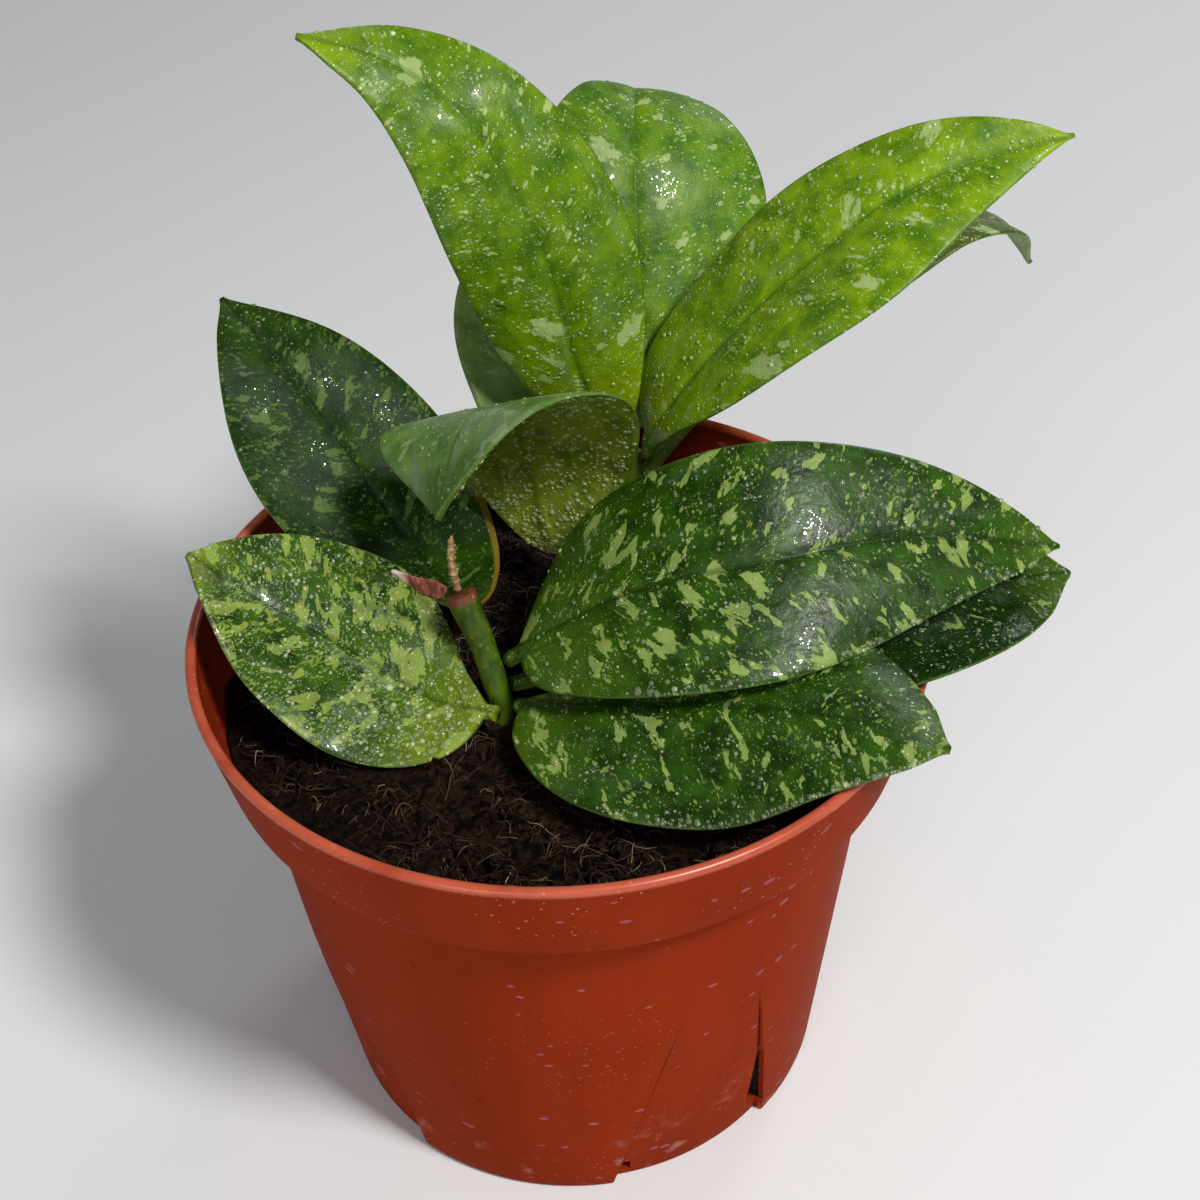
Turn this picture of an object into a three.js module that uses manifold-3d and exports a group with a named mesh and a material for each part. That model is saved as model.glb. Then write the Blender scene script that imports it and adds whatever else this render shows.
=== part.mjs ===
// Potted wax plant with eleven splashed leaves in a 12 cm nursery pot.
// Millimetres, +Z up, the middle of the pot's foot at the origin, the front towards -Y.
import * as THREE from 'three';
import { mergeVertices } from 'three/addons/utils/BufferGeometryUtils.js';
import Module from 'manifold-3d';

// Pot
const POT_HEIGHT = 96;
const RIM_RADIUS = 60;
const FOOT_RADIUS = 45;
const COLLAR_HEIGHT = 17;
const COLLAR_FOOT_RADIUS = 56.7;
const NECK_RADIUS = 52.3;
const POT_WALL = 1.2;
const LIP_WIDTH = 1.8;
const FLOOR_THICKNESS = 1.6;

// Four tapering recesses in the lower wall, each with a slot at the foot of its right edge
const RECESS_COUNT = 4;
const RECESS_TOP = 49;
const RECESS_DEPTH = 2;
const RECESS_LEFT_FOOT = 5;
const RECESS_LEFT_TOP = 19;
const RECESS_RIGHT_FOOT = 45.5;
const RECESS_RIGHT_TOP = 36.5;
const SLOT_WIDTH = 2.2;
const SLOT_FROM_EDGE = 4.4;
const SLOT_BOTTOM = 4.5;
const SLOT_TOP = 21;
const NOTCH_FROM_EDGE = 3;
const NOTCH_BOTTOM = 2.2;
const NOTCH_TOP = 5;
const FLOOR_HOLE_RADIUS = 4;
const FLOOR_HOLE_CIRCLE = 28;

// Soil
const SOIL_LEVEL = 82;
const SOIL_GAP = 0.45;
const SOIL_RINGS = 9;
const HUMMOCK_HEIGHT = 0.7;
const HUMMOCK_LENGTH = 21;
const RIPPLE_HEIGHT = 0.5;
const RIPPLE_LENGTH = 8;
const HEAP = { x: 6, y: 8, height: 1.5, spread: 16 };

// Stems: each path goes up from a hole in the soil that is a little wider and deeper
const STEM_SIDES = 10;
const STEM_STEPS = 8;
const DRIED_STEPS = 4;
const HOLE_CLEARANCE = 0.3;
const HOLE_DEEPER = 0.5;
const SHOOT_PATH = [[12, 20, 72], [12.5, 24, 90], [14, 29, 106]];
const SHOOT_RADII = [2.3, 2.1, 1.8];
const STUB_PATH = [[-10, -11, 72], [-10, -10.5, 84], [-12, -7, 94], [-15.3, -3.2, 103]];
const STUB_RADII = [2.1, 2.1, 2, 2.6];
const PEDUNCLE_PATH = [[-15.6, -2.9, 103.5], [-16.2, -2.2, 108], [-16, -2, 113]];
const PEDUNCLE_RADII = [0.6, 0.8, 0.7];
const SCAR_PATH = [[-17.6, -3.5, 103.5], [-21, -3.4, 105.2], [-25.5, -3, 108.2]];
const SCAR_RADII = [1.2, 1.2, 0.5];

// Leaves
const BLADE_THICKNESS = 0.9;
const KEEL_DEPTH = 0.5;
const STALK_RADIUS = 1.3;
const STALK_SHARE = 0.04;
const STALK_FADE = 0.1;
const STALK_FLATTENING = 0.12;
const BLADE_STEPS = 18;
const BLADE_COLUMNS = 6;
const SMALLEST_HALF_WIDTH = 0.35;
const RIB_REACH = 0.12;
const WAVES_ALONG = 2.3;
const WAVE_SHIFT = 0.35;
const NEARBY = 0.001;

// rib: points of the midrib from the stalk to the tip. half: widest half widths, left and
// right, seen from above with the tip ahead. up: way the upper face looks at the base, the
// middle and the tip. taper: slimness of the base and of the tip, for the left half and for
// the right half. fold lifts each half off the midrib, cup bends it towards its margin, and
// wave ripples the margins.
const LEAVES = [
  {
    name: 'leaf_upper_left',
    rib: [[10.5, 29.5, 105], [5, 30, 124], [0, 31, 146], [-9.5, 33, 165], [-21, 38, 173], [-34, 37, 178]],
    half: [14, 14.5],
    up: [[-0.4, -0.9, 0], [0.2, -0.9, 0.2], [0.3, -0.3, 0.9]],
    taper: [[0.6, 0.8], [0.6, 0.9]],
    fold: [0.1, 0.1],
    cup: [-0.2, -0.2],
    wave: 0.6,
    colour: 0x5f8f14,
  },
  {
    name: 'leaf_top_centre',
    rib: [[14, 31.5, 105.5], [16, 42, 125], [17, 56, 145], [18, 71, 151], [19, 84, 145]],
    half: [19, 24],
    up: [[0, -0.8, 0.6], [0.2, -0.8, 0.6], [0, -0.2, 1]],
    taper: [[0.8, 1.1], [0.8, 0.8]],
    fold: [0.1, 0.1],
    cup: [-0.1, -0.2],
    wave: 0.6,
    colour: 0x6a9a10,
  },
  {
    name: 'leaf_upper_right',
    rib: [[16.5, 27, 106], [23, 25, 121], [41, 26, 141], [61, 29, 154], [83, 31, 159]],
    half: [15, 17.5],
    up: [[-0.7, -0.3, 0.6], [-0.5, -0.3, 0.8], [0, -0.8, 0.6]],
    taper: [[0.4, 0.8], [1.1, 1.3]],
    fold: [0.2, 0.2],
    cup: [-0.1, -0.1],
    wave: 0.5,
    colour: 0x6a9a10,
  },
  {
    name: 'leaf_back_right',
    rib: [[15, 29.5, 99], [34, 46, 110], [55, 55, 121], [71, 61, 128], [84, 66, 125], [92, 73, 113]],
    half: [14, 9.5],
    up: [[-0.5, -0.3, 0.8], [-0.5, -0.1, 0.8], [0.7, 0.2, 0.6]],
    taper: [[0.6, 0.9], [1.6, 1.2]],
    fold: [0.1, 0.1],
    cup: [-0.1, -0.1],
    wave: 0.5,
    colour: 0x4a6a18,
  },
  {
    name: 'leaf_back_left',
    rib: [[11, 28.5, 97], [3, 40, 106], [-5, 49, 120], [-9, 58, 132]],
    half: [14, 14],
    up: [[0.3, -0.6, 0.7], [0.4, -0.6, 0.7], [0.3, -0.5, 0.8]],
    taper: [[0.5, 0.7], [0.5, 0.7]],
    fold: [0.1, 0.1],
    cup: [-0.1, -0.1],
    wave: 0.5,
    colour: 0x24441c,
  },
  {
    name: 'leaf_left_upright',
    rib: [[-13.5, -2, 97.5], [-21, 15, 93.5], [-32, 27, 105], [-44, 38, 120.5], [-54, 47, 129]],
    half: [16.5, 17],
    up: [[0.4, -0.5, 0.8], [0.2, -0.7, 0.7], [0.5, -0.4, 0.8]],
    taper: [[1.1, 0.9], [0.8, 0.9]],
    fold: [0.1, 0.1],
    cup: [-0.1, -0.1],
    wave: 0.5,
    colour: 0x1f4212,
  },
  {
    name: 'leaf_curled_middle',
    rib: [[10, 22, 89.5], [0, 18, 96], [-3, 20, 109], [-7, 13, 126], [-13, 2, 130], [-17, -10, 123]],
    half: [21, 20],
    up: [[-0.5, 0.7, 0.5], [0, 0.5, 0.9], [-1, -0.1, 0.3]],
    taper: [[0.9, 0.6], [1.5, 0.8]],
    fold: [0.05, 0.05],
    cup: [-0.1, -0.1],
    wave: 0.4,
    colour: 0x5a7a3a,
  },
  {
    name: 'leaf_lower_left',
    rib: [[-10.5, -15.8, 88.5], [-20, -11, 87.5], [-34, -4, 93.5], [-47, 1, 100], [-58, 3, 109]],
    half: [17.5, 17],
    up: [[0.2, -0.6, 0.7], [0, -0.3, 0.9], [0, -0.2, 1]],
    taper: [[0.6, 0.8], [1, 0.9]],
    fold: [0.2, 0.1],
    cup: [-0.05, -0.05],
    wave: 0.6,
    colour: 0x35551c,
  },
  {
    name: 'leaf_right_top',
    rib: [[-8.5, -6.7, 91.5], [9, -10, 106], [31, -12, 113], [56, -6, 111.5], [80, -1, 104]],
    half: [20, 19],
    up: [[-0.1, 0, 1], [0.2, -0.5, 0.8], [0.2, -0.5, 0.8]],
    taper: [[0.4, 0.8], [0.5, 0.9]],
    fold: [0.1, 0.1],
    cup: [-0.1, -0.1],
    wave: 0.6,
    colour: 0x1f4a14,
  },
  {
    name: 'leaf_right_lower',
    rib: [[-7.3, -11, 85.5], [6, -21, 94], [23, -27, 98], [39, -33, 100.5], [55, -41, 100]],
    half: [19.5, 19.5],
    up: [[0.2, 0, 1], [-0.2, -0.4, 0.9], [0, 0, 1]],
    taper: [[0.6, 0.6], [0.6, 0.8]],
    fold: [-0.2, 0.1],
    cup: [-0.1, -0.1],
    wave: 0.6,
    colour: 0x1f4a14,
  },
  {
    name: 'leaf_right_under',
    rib: [[-8.5, -7, 86.5], [14, -3, 88], [38, -5, 94.5], [60, -5, 99], [82, -3, 100]],
    half: [18, 20],
    up: [[0, 0, 1], [0, 0, 1], [0, -0.1, 1]],
    taper: [[0.8, 0.5], [1.3, 0.8]],
    fold: [0.05, 0.05],
    cup: [-0.05, 0],
    wave: 0.5,
    colour: 0x16380e,
  },
];

// Colours of the other pieces
const POT_COLOUR = 0x8a2f1a;
const SOIL_COLOUR = 0x241a14;
const STEM_COLOUR = 0x5f7a22;
const DRIED_COLOUR = 0xb08a58;
const SCAR_COLOUR = 0x9a4a3a;
const POT_ROUGHNESS = 0.45;
const SOIL_ROUGHNESS = 0.95;
const STEM_ROUGHNESS = 0.5;
const DRIED_ROUGHNESS = 0.8;
const LEAF_ROUGHNESS = 0.3;

const STEMS = [
  {
    name: 'shoot_stem',
    path: SHOOT_PATH,
    radii: SHOOT_RADII,
    steps: STEM_STEPS,
    colour: STEM_COLOUR,
    roughness: STEM_ROUGHNESS,
  },
  {
    name: 'stub_stem',
    path: STUB_PATH,
    radii: STUB_RADII,
    steps: STEM_STEPS,
    colour: STEM_COLOUR,
    roughness: STEM_ROUGHNESS,
  },
  {
    name: 'dried_peduncle',
    path: PEDUNCLE_PATH,
    radii: PEDUNCLE_RADII,
    steps: DRIED_STEPS,
    colour: DRIED_COLOUR,
    roughness: DRIED_ROUGHNESS,
  },
  {
    name: 'dried_scar',
    path: SCAR_PATH,
    radii: SCAR_RADII,
    steps: DRIED_STEPS,
    colour: SCAR_COLOUR,
    roughness: DRIED_ROUGHNESS,
  },
];

const wasm = await Module();
wasm.setup();

function clamp(x, low, high) {
  return Math.min(Math.max(x, low), high);
}

function smooth(x, from, to) {
  const t = clamp((x - from) / (to - from), 0, 1);
  return t * t * (3 - 2 * t);
}

function radians(degrees) {
  return degrees * Math.PI / 180;
}

// Closed body from a list of points and the point numbers of its triangles
function bodyOf(points, triangles) {
  const geometry = new THREE.BufferGeometry();
  geometry.setAttribute('position', new THREE.Float32BufferAttribute(points.flat(), 3));
  geometry.setIndex(triangles);
  return geometry;
}

function quad(triangles, a, b, c, d) {
  triangles.push(a, b, c, a, c, d);
}

function toSolid(geometry) {
  const plain = geometry.clone();
  plain.deleteAttribute('normal');
  plain.deleteAttribute('uv');
  const merged = mergeVertices(plain, 1e-4);
  return new wasm.Manifold(new wasm.Mesh({
    numProp: 3,
    vertProperties: new Float32Array(merged.attributes.position.array),
    triVerts: new Uint32Array(merged.index.array),
  }));
}

function fromSolid(solid) {
  const mesh = solid.getMesh();
  const geometry = new THREE.BufferGeometry();
  geometry.setAttribute('position', new THREE.BufferAttribute(mesh.vertProperties, 3));
  geometry.setIndex(new THREE.BufferAttribute(mesh.triVerts, 1));
  return geometry;
}

function cut(solid, geometries) {
  return geometries.reduce((rest, geometry) => rest.subtract(toSolid(geometry)), solid);
}

function meshOf(name, geometry, color, roughness) {
  geometry.computeVertexNormals();
  const material = new THREE.MeshStandardMaterial({ color, roughness, metalness: 0 });
  const mesh = new THREE.Mesh(geometry, material);
  mesh.name = name;
  return mesh;
}

// Pot: rings of points at the levels of the profile, with the recesses pressed inwards

// Share of the way round of every column: at the foot the columns follow the recess edges,
// and from the collar up they are spread evenly
function potColumns() {
  const inside = [0, 0.035, 0.345, 0.655, 0.965, 1];
  const outside = [1 / 7, 2 / 7, 3 / 7, 4 / 7, 5 / 7, 6 / 7];
  const columns = [];
  for (let sector = 0; sector < RECESS_COUNT; sector++) {
    inside.forEach((share) => columns.push({ sector, inside: true, share }));
    outside.forEach((share) => columns.push({ sector, inside: false, share }));
  }
  return columns.map((column, number) => ({ ...column, even: 360 * number / columns.length }));
}

function recessEdges(z) {
  const t = clamp(z / RECESS_TOP, 0, 1);
  return [
    RECESS_LEFT_FOOT + (RECESS_LEFT_TOP - RECESS_LEFT_FOOT) * t,
    RECESS_RIGHT_FOOT + (RECESS_RIGHT_TOP - RECESS_RIGHT_FOOT) * t,
  ];
}

// Angle of a column at a height, in degrees from the front, growing to the right
function columnAngle(column, z) {
  const sectorAngle = 360 / RECESS_COUNT;
  const [left, right] = recessEdges(z);
  const edgeShare = column.inside ? column.share : 0;
  let angle = left + (right - left) * edgeShare;
  if (!column.inside) angle = right + (left + sectorAngle - right) * column.share;
  const even = smooth(z, RECESS_TOP, POT_HEIGHT - COLLAR_HEIGHT - 1);
  const placed = angle + column.sector * sectorAngle;
  return placed * (1 - even) + (column.even + RECESS_LEFT_TOP) * even;
}

function recessAt(column, z) {
  const pressed = column.inside && column.share > 0 && column.share < 1;
  return pressed ? RECESS_DEPTH * clamp(1 - z / RECESS_TOP, 0, 1) : 0;
}

function wallRadius(z) {
  const neck = POT_HEIGHT - COLLAR_HEIGHT;
  if (z <= neck) return FOOT_RADIUS + (NECK_RADIUS - FOOT_RADIUS) * z / neck;
  return COLLAR_FOOT_RADIUS + (RIM_RADIUS - COLLAR_FOOT_RADIUS) * (z - neck) / COLLAR_HEIGHT;
}

// Solid of revolution over the pot's columns: its profile starts and ends on the axis
function turnedWithRecesses(profile) {
  const columns = potColumns();
  const points = [];
  const triangles = [];
  const rings = profile.slice(1, -1);
  rings.forEach(([r, z]) => columns.forEach((column) => {
    const angle = radians(columnAngle(column, z));
    const radius = r > FOOT_RADIUS * 0.8 ? r - recessAt(column, z) : r;
    points.push([radius * Math.sin(angle), -radius * Math.cos(angle), z]);
  }));
  const n = columns.length;
  for (let ring = 0; ring < rings.length - 1; ring++) {
    for (let i = 0; i < n; i++) {
      const j = (i + 1) % n;
      const low = ring * n;
      const high = low + n;
      quad(triangles, low + i, low + j, high + j, high + i);
    }
  }
  const first = points.push([0, 0, profile[0][1]]) - 1;
  const last = points.push([0, 0, profile.at(-1)[1]]) - 1;
  const top = (rings.length - 1) * n;
  for (let i = 0; i < n; i++) {
    const j = (i + 1) % n;
    triangles.push(first, j, i, last, top + i, top + j);
  }
  return bodyOf(points, triangles);
}

// Heights at which the wall and the soil beside it both have a ring of points
function wallLevels() {
  return [4, 22, RECESS_TOP, POT_HEIGHT - COLLAR_HEIGHT - 1];
}

function potProfile() {
  const neck = POT_HEIGHT - COLLAR_HEIGHT;
  const inner = (z) => wallRadius(z) - POT_WALL;
  const levels = wallLevels();
  return [
    [0, 0], [FOOT_RADIUS * 0.5, 0], [FOOT_RADIUS - 0.8, 0], [FOOT_RADIUS, 0.8],
    ...levels.map((z) => [wallRadius(z), z]),
    [NECK_RADIUS, neck], [COLLAR_FOOT_RADIUS, neck],
    [RIM_RADIUS, POT_HEIGHT - 1], [RIM_RADIUS - 0.5, POT_HEIGHT],
    [RIM_RADIUS - LIP_WIDTH + 0.3, POT_HEIGHT], [RIM_RADIUS - LIP_WIDTH, POT_HEIGHT - 1],
    [COLLAR_FOOT_RADIUS - POT_WALL, neck + POT_WALL], [NECK_RADIUS - POT_WALL, neck + POT_WALL],
    ...levels.map((z) => [inner(z), z]).reverse(),
    [inner(FLOOR_THICKNESS), FLOOR_THICKNESS], [FOOT_RADIUS * 0.5, FLOOR_THICKNESS],
    [0, FLOOR_THICKNESS],
  ];
}

// Block through the wall at an angle, for a slot
function wallCutter(angle, bottom, top) {
  const block = new THREE.BoxGeometry(SLOT_WIDTH, 12, top - bottom);
  block.translate(0, -(FOOT_RADIUS - 1), (bottom + top) / 2);
  block.rotateZ(radians(angle));
  return block;
}

function potCutters() {
  const cutters = [];
  const sector = 360 / RECESS_COUNT;
  for (let i = 0; i < RECESS_COUNT; i++) {
    const slotAngle = RECESS_RIGHT_FOOT - SLOT_FROM_EDGE + i * sector;
    const notchAngle = RECESS_LEFT_FOOT + NOTCH_FROM_EDGE + i * sector;
    cutters.push(wallCutter(slotAngle, SLOT_BOTTOM, SLOT_TOP));
    cutters.push(wallCutter(notchAngle, NOTCH_BOTTOM, NOTCH_TOP));
    const hole = new THREE.CylinderGeometry(FLOOR_HOLE_RADIUS, FLOOR_HOLE_RADIUS, 10, 12);
    hole.rotateX(Math.PI / 2);
    hole.translate(0, -FLOOR_HOLE_CIRCLE, 0);
    hole.rotateZ(radians(i * sector));
    cutters.push(hole);
  }
  return cutters;
}

function potMesh() {
  const solid = cut(toSolid(turnedWithRecesses(potProfile())), potCutters());
  return meshOf('pot', fromSolid(solid), POT_COLOUR, POT_ROUGHNESS);
}

// Soil: fills the pot, with an uneven top

function soilHeight(x, y) {
  const turn = 2 * Math.PI;
  const hummocks = Math.sin(turn * x / HUMMOCK_LENGTH) * Math.cos(turn * y / HUMMOCK_LENGTH);
  const ripples = Math.sin(turn * (x + y) / (RIPPLE_LENGTH * Math.SQRT2));
  const away = ((x - HEAP.x) ** 2 + (y - HEAP.y) ** 2) / (2 * HEAP.spread ** 2);
  const heap = HEAP.height * Math.exp(-away);
  return SOIL_LEVEL + HUMMOCK_HEIGHT * hummocks + RIPPLE_HEIGHT * ripples + heap;
}

function soilMesh(holes) {
  const gap = SOIL_GAP + POT_WALL;
  const neck = POT_HEIGHT - COLLAR_HEIGHT;
  const floor = FLOOR_THICKNESS + SOIL_GAP;
  const profile = [[0, floor], [wallRadius(4) - gap - 0.6, floor]];
  wallLevels().forEach((z) => profile.push([wallRadius(z) - gap, z]));
  profile.push([NECK_RADIUS - gap, neck + POT_WALL + SOIL_GAP]);
  const edge = wallRadius(SOIL_LEVEL) - gap - 0.4;
  profile.push([edge, neck + POT_WALL + SOIL_GAP]);
  for (let ring = SOIL_RINGS; ring > 0; ring--) profile.push([edge * ring / SOIL_RINGS, SOIL_LEVEL]);
  profile.push([0, SOIL_LEVEL]);
  const geometry = turnedWithRecesses(profile);
  const at = geometry.attributes.position;
  for (let i = 0; i < at.count; i++) {
    if (at.getZ(i) > SOIL_LEVEL - 0.01) at.setZ(i, soilHeight(at.getX(i), at.getY(i)));
  }
  const solid = cut(toSolid(geometry), holes);
  return meshOf('soil', fromSolid(solid), SOIL_COLOUR, SOIL_ROUGHNESS);
}

// Stems: a tube whose radius changes from point to point

function curveOf(points) {
  const vectors = points.map((point) => new THREE.Vector3(...point));
  return new THREE.CatmullRomCurve3(vectors, false, 'catmullrom', 0.5);
}

function radiusAlong(radii, t) {
  const place = t * (radii.length - 1);
  const k = Math.min(Math.floor(place), radii.length - 2);
  return radii[k] + (radii[k + 1] - radii[k]) * (place - k);
}

function stemGeometry(path, radii, steps, extra = 0) {
  const curve = curveOf(path);
  const points = [];
  const triangles = [];
  for (let step = 0; step <= steps; step++) {
    const t = step / steps;
    const centre = curve.getPoint(t);
    const along = curve.getTangent(t);
    const across = new THREE.Vector3(0, 1, 0).cross(along).normalize();
    const up = along.clone().cross(across);
    const radius = radiusAlong(radii, t) + extra;
    for (let side = 0; side < STEM_SIDES; side++) {
      const angle = 2 * Math.PI * side / STEM_SIDES;
      const point = centre.clone();
      point.addScaledVector(across, radius * Math.cos(angle));
      point.addScaledVector(up, radius * Math.sin(angle));
      points.push(point.toArray());
    }
  }
  const n = STEM_SIDES;
  for (let step = 0; step < steps; step++) {
    for (let i = 0; i < n; i++) {
      const j = (i + 1) % n;
      quad(triangles, step * n + i, step * n + j, (step + 1) * n + j, (step + 1) * n + i);
    }
  }
  const start = points.push(curve.getPoint(0).toArray()) - 1;
  const end = points.push(curve.getPoint(1).toArray()) - 1;
  for (let i = 0; i < n; i++) {
    const j = (i + 1) % n;
    triangles.push(start, j, i, end, steps * n + i, steps * n + j);
  }
  return bodyOf(points, triangles);
}

function holeGeometry(path, radii) {
  const [x, y, z] = path[0];
  const deeper = [[x, y, z - HOLE_DEEPER], ...path.slice(1)];
  return stemGeometry(deeper, radii, STEM_STEPS, HOLE_CLEARANCE);
}

function stemMesh({ name, path, radii, steps, colour, roughness }) {
  return meshOf(name, stemGeometry(path, radii, steps), colour, roughness);
}

// Leaves: a thin closed blade around a surface given by a formula

// Direction that goes smoothly through three given ones
function blended(three, t) {
  const [a, b, c] = three.map((v) => new THREE.Vector3(...v));
  a.multiplyScalar((1 - t) * (1 - 2 * t));
  a.addScaledVector(b, 4 * t * (1 - t));
  a.addScaledVector(c, t * (2 * t - 1));
  return a;
}

function bladeWidth([base, tip], u) {
  const t = clamp((u - STALK_SHARE) / (1 - STALK_SHARE), 0, 1);
  const widest = base / (base + tip);
  const most = widest ** base * (1 - widest) ** tip;
  return t ** base * (1 - t) ** tip / most;
}

// Frame of the midrib at a share of its length, with the bends of its direction evened out
function ribFrame(leaf, curve, u) {
  const ahead = curve.getPointAt(Math.min(u + RIB_REACH, 1));
  const behind = curve.getPointAt(Math.max(u - RIB_REACH, 0));
  const along = ahead.sub(behind).normalize();
  const up = blended(leaf.up, u);
  up.addScaledVector(along, -up.dot(along)).normalize();
  const right = along.clone().cross(up);
  return { point: curve.getPointAt(u), up, right };
}

function halfWidth(leaf, side, u) {
  const stalk = STALK_RADIUS * (1 - clamp((u - STALK_SHARE) / STALK_FADE, 0, 1));
  const blade = leaf.half[side] * bladeWidth(leaf.taper[side], u);
  return Math.max(blade + stalk, SMALLEST_HALF_WIDTH);
}

// Point of the leaf's middle surface: u from stalk to tip, v from -1 to 1 across
function leafPoint(leaf, curve, u, v) {
  const { point, up, right } = ribFrame(leaf, curve, u);
  const side = v < 0 ? 0 : 1;
  const half = halfWidth(leaf, side, u);
  const q = Math.abs(v);
  const wave = Math.sin(2 * Math.PI * (WAVES_ALONG * u + WAVE_SHIFT * side));
  const ripple = leaf.wave * bladeWidth(leaf.taper[side], u) * q ** 3 * wave;
  const lift = half * (leaf.fold[side] * q + leaf.cup[side] * q * q) + ripple;
  return point.addScaledVector(right, v * half).addScaledVector(up, lift);
}

function leafNormal(leaf, curve, u, v) {
  const ahead = leafPoint(leaf, curve, Math.min(u + NEARBY, 1), v);
  const behind = leafPoint(leaf, curve, Math.max(u - NEARBY, 0), v);
  const right = leafPoint(leaf, curve, u, Math.min(v + NEARBY, 1));
  const left = leafPoint(leaf, curve, u, Math.max(v - NEARBY, -1));
  return right.sub(left).cross(ahead.sub(behind)).normalize();
}

// Half thickness above and below the middle surface
function leafThickness(u, v) {
  const blade = smooth(u, STALK_SHARE, STALK_SHARE + STALK_FLATTENING);
  const flat = BLADE_THICKNESS / 2;
  const round = Math.max(STALK_RADIUS * Math.sqrt(1 - v * v), flat);
  const keel = v === 0 ? KEEL_DEPTH * (1 - u) : 0;
  return [round + (flat - round) * blade, round + (flat + keel - round) * blade];
}

function leafGeometry(leaf) {
  const curve = curveOf(leaf.rib);
  curve.arcLengthDivisions = 400;
  const tops = [];
  const bottoms = [];
  for (let i = 0; i <= BLADE_STEPS; i++) {
    for (let j = 0; j <= BLADE_COLUMNS; j++) {
      const u = i / BLADE_STEPS;
      const v = 2 * j / BLADE_COLUMNS - 1;
      const point = leafPoint(leaf, curve, u, v);
      const normal = leafNormal(leaf, curve, u, v);
      const [above, below] = leafThickness(u, v);
      tops.push(point.clone().addScaledVector(normal, above).toArray());
      bottoms.push(point.clone().addScaledVector(normal, -below).toArray());
    }
  }
  const row = BLADE_COLUMNS + 1;
  const under = tops.length;
  const triangles = [];
  for (let i = 0; i < BLADE_STEPS; i++) {
    for (let j = 0; j < BLADE_COLUMNS; j++) {
      const a = i * row + j;
      quad(triangles, a, a + 1, a + 1 + row, a + row);
      quad(triangles, under + a, under + a + row, under + a + 1 + row, under + a + 1);
    }
    const left = i * row;
    const right = left + BLADE_COLUMNS;
    quad(triangles, left, left + row, under + left + row, under + left);
    quad(triangles, right, under + right, under + right + row, right + row);
  }
  const tip = BLADE_STEPS * row;
  for (let j = 0; j < BLADE_COLUMNS; j++) {
    quad(triangles, j, under + j, under + j + 1, j + 1);
    quad(triangles, tip + j, tip + j + 1, under + tip + j + 1, under + tip + j);
  }
  return bodyOf([...tops, ...bottoms], triangles);
}

function leafMesh(leaf) {
  return meshOf(leaf.name, leafGeometry(leaf), leaf.colour, LEAF_ROUGHNESS);
}

const plant = new THREE.Group();
plant.add(potMesh());
plant.add(soilMesh([holeGeometry(SHOOT_PATH, SHOOT_RADII), holeGeometry(STUB_PATH, STUB_RADII)]));
STEMS.forEach((stem) => plant.add(stemMesh(stem)));
LEAVES.forEach((leaf) => plant.add(leafMesh(leaf)));

export default plant;
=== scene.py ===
# %% [markdown]
# A potted wax plant, dressed in Blender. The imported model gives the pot, the soil, two stems,
# two dried bits and eleven leaves at their real size. This lesson replaces each of them with a
# finer piece that keeps its form, and gives each one a material: moulded plastic, damp peat and
# coir, green stem, dry stalk, and leaves with pale splashes and dew.

# %% Load the frame
import math
import random
import bmesh
import bpy
from mathutils import Matrix, Vector, noise


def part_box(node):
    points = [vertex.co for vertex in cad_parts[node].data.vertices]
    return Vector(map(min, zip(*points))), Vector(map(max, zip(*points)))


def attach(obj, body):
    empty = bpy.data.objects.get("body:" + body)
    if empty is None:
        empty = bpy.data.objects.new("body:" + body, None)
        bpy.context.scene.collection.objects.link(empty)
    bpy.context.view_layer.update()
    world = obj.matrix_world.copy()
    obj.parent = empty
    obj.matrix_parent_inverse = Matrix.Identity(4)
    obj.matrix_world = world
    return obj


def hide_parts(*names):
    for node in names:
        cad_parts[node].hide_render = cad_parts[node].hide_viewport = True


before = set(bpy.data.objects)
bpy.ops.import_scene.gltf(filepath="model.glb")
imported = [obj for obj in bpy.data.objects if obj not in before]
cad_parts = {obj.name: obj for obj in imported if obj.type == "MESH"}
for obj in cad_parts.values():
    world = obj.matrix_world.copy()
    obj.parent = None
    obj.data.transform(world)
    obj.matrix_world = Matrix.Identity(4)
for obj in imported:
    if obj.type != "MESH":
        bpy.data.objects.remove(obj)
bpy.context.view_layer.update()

MM = 0.001
scene = bpy.context.scene

# %% [markdown]
# The picture looks down on the pot from close by, at about 40 degrees, so the rim is a wide
# ellipse and the foot a narrow one. A camera is an ordinary object: its three axes can be
# written down directly as right, up and back, which is clearer than three angles when there is
# a slight roll as well.

# %% Camera
CAMERA_PLACE = Vector((0, -222, 284)) * MM
LOOKING_DOWN = math.radians(40.03)
HEADING = math.radians(1.75)
ROLL = math.radians(-2.07)
LENS = 54


def camera_axes():
    forward = Vector((math.sin(HEADING) * math.cos(LOOKING_DOWN),
                      math.cos(HEADING) * math.cos(LOOKING_DOWN),
                      -math.sin(LOOKING_DOWN)))
    level = Vector((math.cos(HEADING), -math.sin(HEADING), 0))
    upright = level.cross(forward)
    right = level * math.cos(ROLL) + upright * math.sin(ROLL)
    up = upright * math.cos(ROLL) - level * math.sin(ROLL)
    return right, up, -forward


camera = bpy.data.objects.new("camera", bpy.data.cameras.new("camera"))
scene.collection.objects.link(camera)
camera.matrix_world = Matrix.Translation(CAMERA_PLACE) @ Matrix(camera_axes()).transposed().to_4x4()
camera.data.lens = LENS
camera.data.clip_start = 0.01
scene.camera = camera
print("camera at", tuple(camera.location), "lens", LENS)

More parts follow.
